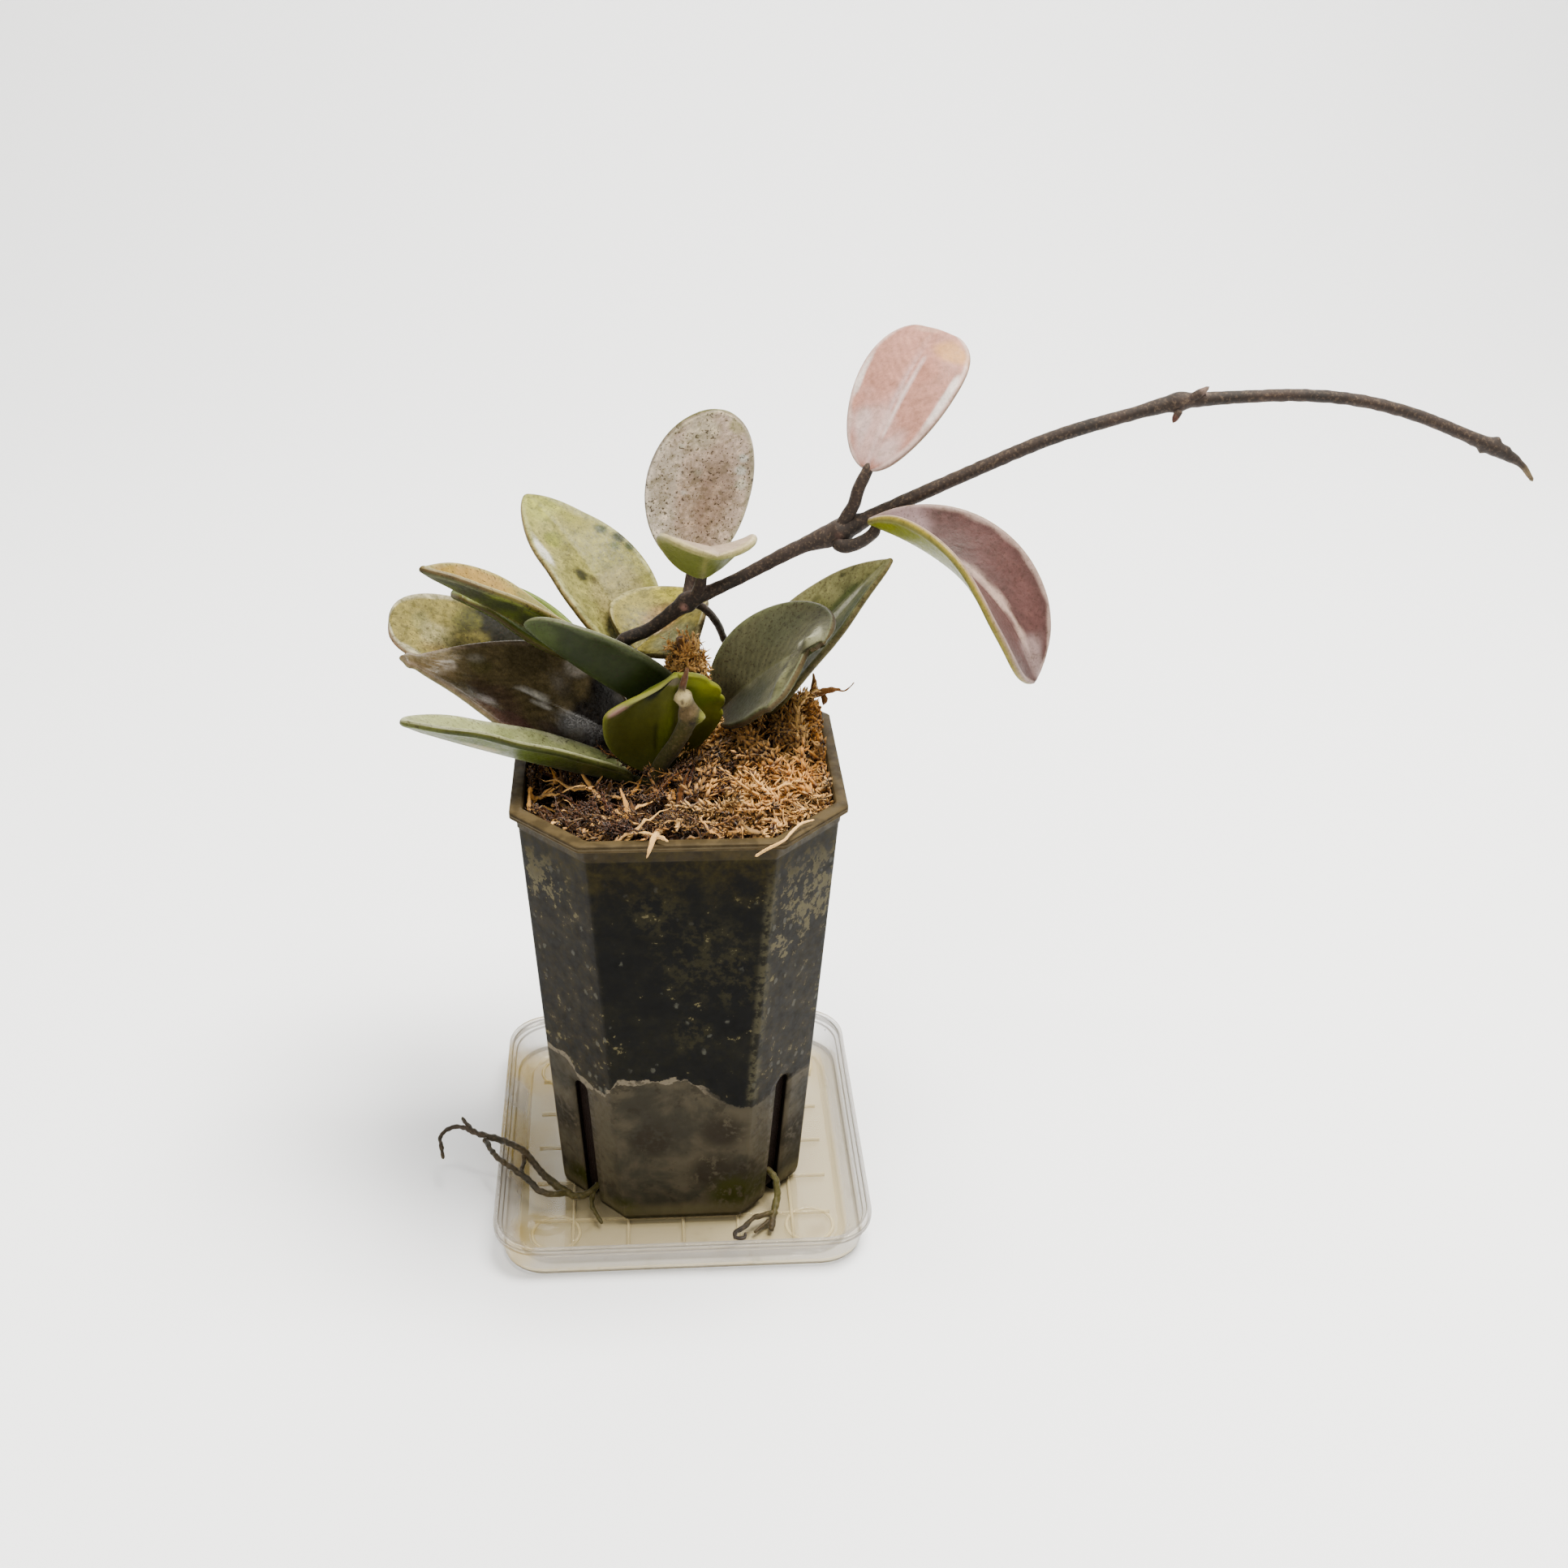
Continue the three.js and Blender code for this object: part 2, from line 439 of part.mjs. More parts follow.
const STEMS = {
  main_vine: [
    MAIN_VINE,
    THIN_SHOOT,
    petioleRoute('leaf_left_grey', [[-5.6, 23.6, 130.5], [-7.8, 26.6, 135.5], [-9.2, 28.2, 139.4]]),
    petioleRoute('leaf_behind_vine', [[-10.8, 16.2, 144.6], [-10.7, 18, 144.5]]),
    petioleRoute('leaf_left_brown', [[-12, 14, 148.2], [-14.5, 13.6, 146.6], [-18, 13.4, 145.6]]),
    petioleRoute('leaf_left_narrow', [[-10.4, 16.6, 144.6], [-14, 16.2, 143.4], [-18, 16.1, 142.9]]),
    petioleRoute('leaf_left_silver', [[-5, 24.6, 126.5], [-10, 26, 128.4], [-16.5, 27.3, 131]]),
    petioleRoute('leaf_first_node_back', [[3, 13.4, 162], [3.4, 15.6, 163.8], [4, 17, 166.2]], 1.3),
    petioleRoute('leaf_first_node_front', [[4.2, 12.3, 162], [5.4, 12, 164.4], [6, 11.2, 166.8]], 1.4),
    petioleRoute('leaf_second_node_back', [[39.2, 9.2, 182], [39.4, 9, 184.8], [41, 8.6, 188.2], [42.6, 8, 192]], 1.25),
    [[38.4, 8.6, 179.6, 1.5], [39.4, 6.6, 178.6, 1.4], [42, 5.2, 179.2, 1.3], [44.8, 4.4, 181, 1.2], [46.6, 4.1, 182.9, 1.1]],
  ],
  front_stub: [
    FRONT_STUB,
    petioleRoute('leaf_front_left', [[-6, -1.2, 118.8], [-8.2, -1.4, 119.6]]),
  ],
  middle_stem: [
    MIDDLE_STEM,
    petioleRoute('leaf_front', [[-4.2, 6.3, 119], [-4.4, 4, 118.6], [-4.5, 2, 119]]),
    petioleRoute('leaf_left_dark', [[-4, 6.2, 123.6], [-6.2, 6.8, 123.8], [-8.6, 7.7, 124.5]]),
    petioleRoute('leaf_over_dark', [[0.2, 4.8, 132.6], [1.8, 3.6, 134.6]]),
  ],
  right_stem: [
    RIGHT_STEM,
    petioleRoute('leaf_right_broad', [[13.3, 20.8, 120], [11.6, 19.4, 122.2], [10.2, 17.6, 125]]),
    petioleRoute('leaf_right_pointed', [[13.2, 20.9, 118], [15.6, 21.9, 119.6], [17.6, 22.5, 121.8]]),
  ],
  left_root: [LEFT_ROOT, LEFT_ROOT_FORK, LEFT_ROOT_HOOK, LEFT_ROOT_LINK, LEFT_ROOT_STRAY],
  right_root: [RIGHT_ROOT, RIGHT_ROOT_CURL, RIGHT_ROOT_FAINT],
};
const STEM_COLOUR = {
  main_vine: 'stem', front_stub: 'stub', middle_stem: 'stub', right_stem: 'stub', left_root: 'root', right_root: 'root',
};

// A stem's bar has eight sides, and a thinner petiole, shoot or root has six
const stemTube = (route, grow = 0) => tube(route, { sides: Math.max(...route.map((point) => point[3])) < 1.6 ? 6 : 8, grow });

// Moss

const hill = ({ x, y, height, spread }, px, py) => height * Math.exp(-((px - x) ** 2 + (py - y) ** 2) / (2 * spread ** 2));

function mossHeight(x, y) {
  const front = MOSS.frontRise / (1 + Math.exp((y + 26) / 3));
  const lumps = Math.sin(0.83 * x + 1.1 * Math.sin(0.47 * y)) * Math.cos(0.71 * y - 0.9 * Math.sin(0.39 * x));
  const crumbs = 0.5 * Math.sin(1.9 * x + 1.3 * y) * Math.sin(1.4 * x - 2.1 * y);
  const hills = hill(MOSS.mound, x, y) + hill(MOSS.shoulder, x, y) + hill(MOSS.crown, x, y);
  return MOSS.level + front + hills + MOSS.relief * (lumps + crumbs);
}

// Block with the moss's top relief, wider than the pot
function mossBlock() {
  const width = 2 * POT.topHalf + 4;
  const cells = Math.round(width / MOSS.cell);
  const block = new THREE.BoxGeometry(width, width, 1, cells, cells, 1);
  const position = block.attributes.position;
  for (let i = 0; i < position.count; i++) {
    const top = position.getZ(i) > 0;
    position.setZ(i, top ? mossHeight(position.getX(i), position.getY(i)) : 0);
  }
  return block;
}

// Inside of the pot less the gap, carried on straight above the rim
function mossSpace() {
  const { foot, floorThickness, footRound, wall, rimTop, rimBand } = POT;
  const floor = foot + floorThickness + GAP;
  const bandFoot = rimTop - rimBand;
  const inset = wall + GAP;
  return loft([
    cutSquare(wallHalf(floor), floor, inset + footRound * 0.6),
    cutSquare(wallHalf(floor + footRound), floor + footRound, inset),
    cutSquare(wallHalf(bandFoot), bandFoot, inset),
    cutSquare(wallHalf(bandFoot), bandFoot + 60, inset),
  ]);
}

// One shred of moss: rooted below the surface, arched over it, with a thin free end
function mossStrand(random, foot, direction, up) {
  const length = THREE.MathUtils.lerp(...MOSS.strandLength, random());
  const side = new THREE.Vector3().crossVectors(up, direction);
  const bend = (random() - 0.5) * length * 0.7;
  const lift = 0.6 + 1.6 * random();
  const at = (along, across, height, thickness) => [
    ...foot.clone().addScaledVector(direction, along * length).addScaledVector(side, across * bend)
      .addScaledVector(up, height).toArray(),
    MOSS.strandRadius * thickness,
  ];
  return tube([at(0, 0, -1.6, 1), at(0.33, 0.1, lift * 0.6, 1.05), at(0.7, 0.5, lift, 0.85), at(1, 1, lift * 0.9, 0.4)],
    { sides: 3, steps: 1 });
}

function mossStrands() {
  const random = randomSource(11);
  const reach = POT.topHalf - POT.wall - 1.5;
  const strands = [];
  while (strands.length < MOSS.strands) {
    const x = (2 * random() - 1) * reach;
    const y = (2 * random() - 1) * reach;
    const heading = 2 * Math.PI * random();
    if (Math.abs(x) + Math.abs(y) > 1.4 * reach) continue;
    const foot = new THREE.Vector3(x, y, mossHeight(x, y));
    const direction = new THREE.Vector3(Math.cos(heading), Math.sin(heading), 0);
    const ahead = foot.clone().addScaledVector(direction, MOSS.strandLength[0]);
    direction.z = (mossHeight(ahead.x, ahead.y) - foot.z) / MOSS.strandLength[0];
    strands.push(mossStrand(random, foot, direction.normalize(), new THREE.Vector3(0, 0, 1)));
  }
  return strands;
}

// Shreds that stand out of the clump round the vine's foot
function clumpStrands() {
  const random = randomSource(23);
  const curve = new THREE.CatmullRomCurve3(MOSS.clump.map(vector), false, 'centripetal');
  return Array.from({ length: MOSS.clumpStrands }, (_, i) => {
    const along = THREE.MathUtils.lerp(0.35, 0.9, i / (MOSS.clumpStrands - 1));
    const turn = 2.4 * i;
    const outward = new THREE.Vector3(Math.cos(turn), Math.sin(turn), 0);
    const radius = THREE.MathUtils.lerp(6, 2.5, (along - 0.35) / 0.55);
    const foot = curve.getPoint(along).addScaledVector(outward, radius);
    const direction = new THREE.Vector3(-Math.sin(turn), Math.cos(turn), 0.8 * random() - 0.2).normalize();
    return mossStrand(random, foot, direction, outward);
  });
}

function mossGeometry() {
  const clump = tube(MOSS.clump, { sides: 10 });
  const heap = joined([mossBlock(), clump, ...mossStrands(), ...clumpStrands()]);
  let moss = heap.intersect(solid(mossSpace()));
  for (const route of Object.values(STEMS).flat()) moss = moss.subtract(solid(stemTube(route, 1.5 * GAP)));
  for (const leaf of Object.values(LEAVES)) moss = moss.subtract(solid(bladeGeometry(leaf, 2 * GAP)));
  return mainBody(moss);
}

// The plant, one named mesh for each piece

const plant = new THREE.Group();

function addPiece(name, geometry, colour, roughness) {
  const material = new THREE.MeshStandardMaterial({ color: COLOUR[colour], roughness, metalness: 0 });
  const mesh = new THREE.Mesh(geometry, material);
  mesh.name = name;
  plant.add(mesh);
}

addPiece('saucer', saucerGeometry(), 'saucer', 0.25);
addPiece('pot', potGeometry(), 'pot', 0.4);
addPiece('moss', mossGeometry(), 'moss', 0.95);
for (const [name, routes] of Object.entries(STEMS)) {
  addPiece(name, mainBody(joined(routes.map((route) => stemTube(route)))), STEM_COLOUR[name], 0.8);
}
for (const [name, leaf] of Object.entries(LEAVES)) {
  addPiece(name, bladeGeometry(leaf), leaf.colour, 0.45);
}

export default plant;
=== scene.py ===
"""Potted wax plant: fifteen fleshy leaves and one long bare vine, in a cut-corner pot of moss on a saucer.

Laid out as an add-on and run as a script. Tables and shapes are in millimetres in the part's own frame:
origin under the saucer's centre, +Z up, +X to the side that the vine reaches. Meshes are written in metres,
and finishes read coordinates in metres.
"""

import math
from collections import namedtuple

import bpy
import numpy as np
from bpy.props import FloatProperty, FloatVectorProperty, IntProperty, PointerProperty
from bpy.types import Operator, Panel, PropertyGroup
from mathutils import Matrix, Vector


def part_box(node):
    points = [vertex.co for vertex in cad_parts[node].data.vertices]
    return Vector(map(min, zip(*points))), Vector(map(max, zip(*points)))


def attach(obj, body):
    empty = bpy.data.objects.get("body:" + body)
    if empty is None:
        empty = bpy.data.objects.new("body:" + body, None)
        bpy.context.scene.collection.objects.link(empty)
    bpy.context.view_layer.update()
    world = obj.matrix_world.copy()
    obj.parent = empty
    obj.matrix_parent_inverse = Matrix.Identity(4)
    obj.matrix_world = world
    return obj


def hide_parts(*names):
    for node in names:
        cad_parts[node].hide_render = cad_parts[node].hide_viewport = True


bl_info = {
    "name": "Potted wax plant",
    "version": (1, 0, 0),
    "blender": (4, 5, 0),
    "location": "3D View > Sidebar > Plant",
    "description": "Builds a climbing wax plant in a moss-filled pot on a clear saucer",
    "category": "Add Mesh",
}

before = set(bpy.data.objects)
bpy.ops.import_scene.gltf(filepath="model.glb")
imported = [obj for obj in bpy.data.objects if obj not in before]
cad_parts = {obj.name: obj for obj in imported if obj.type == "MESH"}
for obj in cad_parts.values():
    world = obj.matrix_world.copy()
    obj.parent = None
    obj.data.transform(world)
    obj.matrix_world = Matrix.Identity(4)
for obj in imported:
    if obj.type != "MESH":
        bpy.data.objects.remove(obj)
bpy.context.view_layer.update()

MM = 0.001
BODY = "root"
LUMINANCE = np.array([0.2126, 0.7152, 0.0722])
VIVID, DEPTH = 1.4, 0.42
RIPPLE_WAVES = 14

# Outer sizes that the solid pieces already have, in millimetres
SAUCER_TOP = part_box("saucer")[1] / MM
POT_LOW, POT_HIGH = (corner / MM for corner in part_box("pot"))


# Plain helpers

def pigment(code, depth=DEPTH):
    """Reflectance of a finish seen as six hexadecimal digits under a bright light, which washes it out.

    The colour is made linear by the display's curve, more vivid by moving away from its grey, and deeper.
    """
    values = np.array([int(code[i:i + 2], 16) for i in (0, 2, 4)]) / 255
    colour = np.where(values <= 0.04045, values / 12.92, ((values + 0.055) / 1.055) ** 2.4)
    grey = colour @ LUMINANCE
    return np.clip(grey + VIVID * (colour - grey), 0.002, 1) * depth


def rgba(code, depth=DEPTH):
    """Pigment with full opacity, for a shader socket."""
    return (*pigment(code, depth), 1.0)


def smooth_step(low, high, value):
    """Rises from 0 at low to 1 at high along 3t^2 - 2t^3."""
    t = np.clip((value - low) / (high - low), 0, 1)
    return t * t * (3 - 2 * t)


def unit(vectors):
    """Vectors of length one along the last axis."""
    return vectors / np.maximum(np.linalg.norm(vectors, axis=-1, keepdims=True), 1e-9)


def circle(sides):
    """Angles of equal steps round a circle."""
    return 2 * np.pi * np.arange(sides) / sides


def ripples(points, wavelength, seed):
    """Smooth random relief from -1 to 1: sine waves in random directions, near wavelength long."""
    random = np.random.default_rng(seed)
    directions = unit(random.normal(size=(RIPPLE_WAVES, 3)))
    numbers = 2 * np.pi / (wavelength * random.uniform(0.7, 1.6, RIPPLE_WAVES))
    phases = random.uniform(0, 2 * np.pi, RIPPLE_WAVES)
    angles = points @ (directions * numbers[:, None]).T + phases
    return np.clip(np.sin(angles).sum(-1) / np.sqrt(RIPPLE_WAVES), -1.6, 1.6) / 1.6


def new_object(name, data):
    """An object of that data, linked to the scene."""
    made = bpy.data.objects.new(name, data)
    bpy.context.scene.collection.objects.link(made)
    return made


class Skin:
    """Closed shapes gathered into one mesh, each with its own values at the points."""

    def __init__(self):
        self.points, self.quads, self.triangles, self.values = [], [], [], []
        self.count = 0

    def gather(self, points, quads, triangles, values):
        """Adds n shapes of k points each, n x k x 3, that share their faces, with values of n x k x m."""
        number, each = points.shape[:2]
        offsets = self.count + each * np.arange(number)[:, None, None]
        self.quads.append((quads + offsets).reshape(-1, 4))
        self.triangles.append((triangles + offsets).reshape(-1, 3))
        self.points.append(points.reshape(-1, 3))
        self.values.append({name: value.reshape(number * each, -1) for name, value in values.items()})
        self.count += number * each

    def add(self, grid, caps=True, **values):
        """Adds one grid or many, ... x rows x columns x 3, whose rows are closed rings.

        Caps are fans to the end rings' centres. A value is a number or colour for each point or for all.
        """
        rows, sides = grid.shape[-3:-1]
        index = np.arange(rows * sides).reshape(rows, sides)
        following = np.roll(index, -1, axis=1)
        quads = np.stack([index[:-1], following[:-1], following[1:], index[1:]], -1).reshape(-1, 4)
        start, end = np.full(sides, rows * sides), np.full(sides, rows * sides + 1)
        fans = np.concatenate([np.stack([start, following[0], index[0]], -1),
                               np.stack([end, index[-1], following[-1]], -1)])

        def listed(value):
            """Values grid by grid, each followed by its end rings' means for the caps' centres."""
            width = value.shape[-1]
            value = np.broadcast_to(value, (*grid.shape[:-1], width)).reshape(-1, rows, sides, width)
            flat = value.reshape(len(value), -1, width)
            return np.concatenate([flat, value[:, [0, -1]].mean(2)], 1) if caps else flat

        for name, value in values.items():
            value = np.asarray(value, float)
            values[name] = listed(value if value.shape == grid.shape else value[..., None])
        self.gather(listed(grid), quads, fans if caps else fans[:0], values)

    def add_slivers(self, points, tone, warm, brightest):
        """Adds scale leaves, n x 7 x 3, whose tones run from foot to tip about their own."""
        values = {"tone": np.clip(tone[:, None] + SLIVER_SHADING, 0, brightest), "warm": warm[:, None],
                  "along": SLIVER_ALONG}
        values = {name: np.broadcast_to(value, points.shape[:2]) for name, value in values.items()}
        self.gather(points, np.empty((0, 4), int), SLIVER, values)

    def piece(self, name, material, node=None, slot=None):
        """Writes the mesh in metres, with its material and slot, and lets it ride on the body."""
        mesh = bpy.data.meshes.new(name)
        points = np.concatenate(self.points) * MM
        quads, triangles = np.concatenate(self.quads), np.concatenate(self.triangles)
        corners = np.concatenate([quads.ravel(), triangles.ravel()])
        starts = np.concatenate([4 * np.arange(len(quads)), 4 * len(quads) + 3 * np.arange(len(triangles))])
        mesh.vertices.add(len(points))
        mesh.vertices.foreach_set("co", points.astype(np.float32).ravel())
        mesh.loops.add(len(corners))
        mesh.polygons.add(len(starts))
        mesh.polygons.foreach_set("loop_start", starts.astype(np.int32))
        mesh.polygons.foreach_set("vertices", corners.astype(np.int32))
        mesh.polygons.foreach_set("use_smooth", np.ones(len(starts), bool))
        mesh.update(calc_edges=True)
        mesh.materials.append(material)
        for key in self.values[0]:
            write_values(mesh, key, np.concatenate([table[key] for table in self.values]))
        thing = new_object(name, mesh)
        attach(thing, BODY)
        if node:
            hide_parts(node)
        return thing


def write_values(mesh, key, value):
    """Stores one number, or three as a colour, at every point of a mesh."""
    kind, field = "FLOAT", "value"
    if value.shape[1] == 3:
        kind, field = "FLOAT_COLOR", "color"
        value = np.concatenate([value, np.ones((len(value), 1))], 1)
    layer = mesh.attributes.new(key, kind, "POINT")
    layer.data.foreach_set(field, value.astype(np.float32).ravel())


# Curves and tubes

def smooth_route(route, step):
    """Route of x, y, z, radius resampled every step along the centripetal curve through its points."""
    route = np.asarray(route, float)
    spots = route[:, :3]
    ends = np.vstack([2 * spots[0] - spots[1], spots, 2 * spots[-1] - spots[-2]])
    knots = np.maximum(np.linalg.norm(np.diff(ends, axis=0), axis=1) ** 0.5, 1e-6)
    pieces, radii = [], []
    for i in range(len(spots) - 1):
        (a, b, c, d), (p, q, r) = ends[i:i + 4], knots[i:i + 3]
        leave = ((b - a) / p - (c - a) / (p + q) + (c - b) / q) * q
        arrive = ((c - b) / q - (d - b) / (q + r) + (d - c) / r) * q
        count = max(2, int(np.ceil(np.linalg.norm(c - b) / step)))
        t = np.arange(count)[:, None] / count
        square, cube = 3 * (c - b) - 2 * leave - arrive, 2 * (b - c) + leave + arrive
        pieces.append(b + leave * t + square * t**2 + cube * t**3)
        radii.append(route[i, 3] + (route[i + 1, 3] - route[i, 3]) * smooth_step(0, 1, t[:, 0]))
    return np.vstack([*pieces, spots[-1:]]), np.concatenate([*radii, route[-1:, 3]])


def rings_along(points, radius, sides, relief=0.0):
    """Circles square to a path, rows x sides x 3, whose radii are the path's with a relief added.

    The first direction across is as square to the whole path as it can be, the second is square to both.
    """
    tangents = unit(np.gradient(points, axis=0))
    reference = np.linalg.svd(tangents, full_matrices=False)[2][-1]
    across = unit(reference - (tangents * reference).sum(-1, keepdims=True) * tangents)
    up = np.cross(tangents, across)
    angle = circle(sides)[None, :, None]
    spokes = across[:, None] * np.cos(angle) + up[:, None] * np.sin(angle)
    return points[:, None] + (radius[:, None] + relief)[..., None] * spokes


def carried(spine, up, reach, flat=1.0):
    """Closed sections carried along spines, n x rings x sides x 3: each point leaves the spine by its
    reach, across it and upwards, flattened."""
    tangent = unit(np.gradient(spine, axis=1))
    across = unit(np.cross(up, tangent))
    upward = np.cross(tangent, across)
    angle = circle(reach.shape[-1])
    return (spine[:, :, None] + (reach * np.cos(angle))[..., None] * across[:, :, None]
            + (flat * reach * np.sin(angle))[..., None] * upward[:, :, None])


def bar(route, step, sides, rough, wavelength, seed, bumps=()):
    """Round bar along a route, drawn in to a hemisphere at each end.

    Bark relief is smooth ripples, and a bump is x, y, z, height and spread of a swelling.
    """
    points, radius = smooth_route(route, step)
    walked = np.concatenate([[0], np.cumsum(np.linalg.norm(np.diff(points, axis=0), axis=1))])
    nearest = np.minimum(walked, walked[-1] - walked)
    radius = radius * np.sqrt(1 - np.clip(1 - nearest / np.maximum(radius, 1e-6), 0, 0.98) ** 2)
    grid = rings_along(points, radius, sides)
    relief = rough * ripples(grid, wavelength, seed)
    for x, y, z, height, spread in bumps:
        away = np.linalg.norm(grid - (x, y, z), axis=-1)
        relief = relief + height * np.exp(-((away / spread) ** 2))
    return rings_along(points, radius, sides, relief * np.clip(radius / 0.6, 0, 1)[:, None])


# Node-built materials

class Field:
    """A number or colour inside a finish. Arithmetic on it adds the nodes that work it out."""

    def __init__(self, finish, socket):
        self.finish, self.socket = finish, socket

    def math(self, operation, other=0.0):
        """This field and another, or a number, through one maths node."""
        return self.finish.node("Math", 0, {0: self, 1: other}, operation=operation)

    def __add__(self, other):
        return self.math("ADD", other)

    def __sub__(self, other):
        return self.math("SUBTRACT", other)

    def __mul__(self, other):
        return self.math("MULTIPLY", other)

    def __abs__(self):
        return self.math("ABSOLUTE")

    def at_least(self, other):
        """The greater of the two."""
        return self.math("MAXIMUM", other)

    def at_most(self, other):
        """The lesser of the two."""
        return self.math("MINIMUM", other)

    def band(self, low, high, start=0.0, end=1.0):
        """Maps low..high smoothly to start..end, and holds it past either side."""
        inputs = {"Value": self, "From Min": low, "From Max": high, "To Min": start, "To Max": end}
        return self.finish.node("MapRange", "Result", inputs, interpolation_type="SMOOTHSTEP")

    def toward(self, colour, amount):
        """This colour mixed towards another by an amount from 0 to 1."""
        return self.finish.mix(self, colour, amount)

    def filtered(self, *shares):
        """This colour with its red, green and blue multiplied."""
        return self.finish.mix(self, (*shares, 1), 1.0, "MULTIPLY")


def strongest(fields):
    """The greatest of several fields."""
    total, *others = fields
    for other in others:
        total = total.at_least(other)
    return total


class Finish:
    """A material built a node at a time, with the principled shader at its end."""

    def __init__(self, name, **sockets):
        self.material = bpy.data.materials.new(name)
        self.material.use_nodes = True
        self.tree = self.material.node_tree
        self.shader = self.tree.nodes["Principled BSDF"]
        self.spot = self.node("TexCoord", "Object")
        self.set(**sockets)

    def set(self, **sockets):
        """Sets or links the shader's sockets; an underscore in a name stands for a space."""
        for key, value in sockets.items():
            self.put(self.shader.inputs[key.replace("_", " ")], value)

    def put(self, socket, value):
        """Links a field to a socket, or sets a plain value or a hexadecimal colour on it."""
        if isinstance(value, Field):
            self.tree.links.new(value.socket, socket)
        else:
            socket.default_value = rgba(value) if isinstance(value, str) else value

    def node(self, kind, output, inputs=(), **settings):
        """Adds a node and gives back one of its outputs."""
        made = self.tree.nodes.new("ShaderNode" + kind)
        for key, value in settings.items():
            setattr(made, key, value)
        for key, value in dict(inputs).items():
            self.put(made.inputs[key], value)
        return Field(self, made.outputs[output])

    def stored(self, name, output="Fac"):
        """A number stored at the mesh's points, or with the output Color a colour."""
        return self.node("Attribute", output, attribute_name=name)

    def axes(self):
        """The three object coordinates, in metres."""
        return (self.node("SeparateXYZ", name, {0: self.spot}) for name in "XYZ")

    def noise(self, size, detail=3.0, roughness=0.55, distortion=0.0):
        """Noise from 0 to 1 whose features are about size millimetres across."""
        inputs = {"Vector": self.spot, "Scale": 1 / (size * MM), "Detail": detail, "Roughness": roughness,
                  "Distortion": distortion}
        return self.node("TexNoise", "Fac", inputs)

    def cells(self, size, stretch=(1, 1, 1)):
        """Distance to the nearest of scattered points about size millimetres apart, in cells."""
        spot = self.node("Mapping", "Vector", {"Vector": self.spot, "Scale": stretch})
        return self.node("TexVoronoi", "Distance", {"Vector": spot, "Scale": 1 / (size * MM)})

    def zones(self, places):
        """Soft round zones in millimetres: 1 near a place and 0 from its reach on."""
        away = [self.node("VectorMath", "Value", {0: self.spot, 1: [c * MM for c in place]},
                          operation="DISTANCE") for *place, _ in places]
        return strongest(far.band(zone[3] * MM, 0.35 * zone[3] * MM) for far, zone in zip(away, places))

    def mix(self, first, second, amount, blend="MIX"):
        """First colour mixed with the second by an amount."""
        return self.node("Mix", 2, {0: amount, 6: first, 7: second}, data_type="RGBA", blend_type=blend)

    def bump(self, height, strength, depth, under=None):
        """Bump of depth millimetres, over an earlier one if given."""
        inputs = {"Height": height, "Strength": strength, "Distance": depth * MM}
        if under:
            inputs["Normal"] = under
        return self.node("Bump", "Normal", inputs)


# Saucer

SAUCER_FLOOR, SAUCER_CORNER, SAUCER_FOOT_INSET = 1.6, 12, 2.5
CORNER_STEPS = 9
RIB_PITCH, RIB_WIDTH, RIB_END_INSET = 14.5, 0.9, 10
CORNER_RING_PLACE, CORNER_RING_RADIUS, CORNER_RING_HEIGHT = 33.5, 6.2, 0.35
RIB_SECTION = np.array([(-0.5, -0.5), (0.5, -0.5), (0.42, 0.6), (0.2, 1), (-0.2, 1), (-0.42, 0.6)])
# Heights in the tray's wall where darker lines are painted as the shade that its clear rim and foot show,
# with their half thickness
SAUCER_LINES = ((SAUCER_TOP.z - 0.4, 0.35), (SAUCER_TOP.z - 2.3, 0.4), (0.8, 0.9))
QUARTER_TURN = np.array([[0, 1], [-1, 0]])


def four_times(points):
    """Points in the plane repeated at quarter turns, anticlockwise."""
    return np.vstack([points @ np.linalg.matrix_power(QUARTER_TURN, k) for k in range(4)])


def level_ring(points, z):
    """Ring of points in the plane raised to a height."""
    return np.column_stack([points, np.full(len(points), z)])


def rounded_square(half, z, corner):
    """Ring of a square with round corners: quarter circles about four centres, and filled sides."""
    turns = np.linspace(0, np.pi / 2, CORNER_STEPS)
    centre = half - corner
    side = np.linspace(-centre, centre, CORNER_STEPS)[1:-1]
    arc = np.stack([centre + corner * np.cos(turns), centre + corner * np.sin(turns)], -1)
    run = np.stack([side[::-1], np.full(len(side), half)], -1)
    return level_ring(four_times(np.vstack([arc, run])), z)


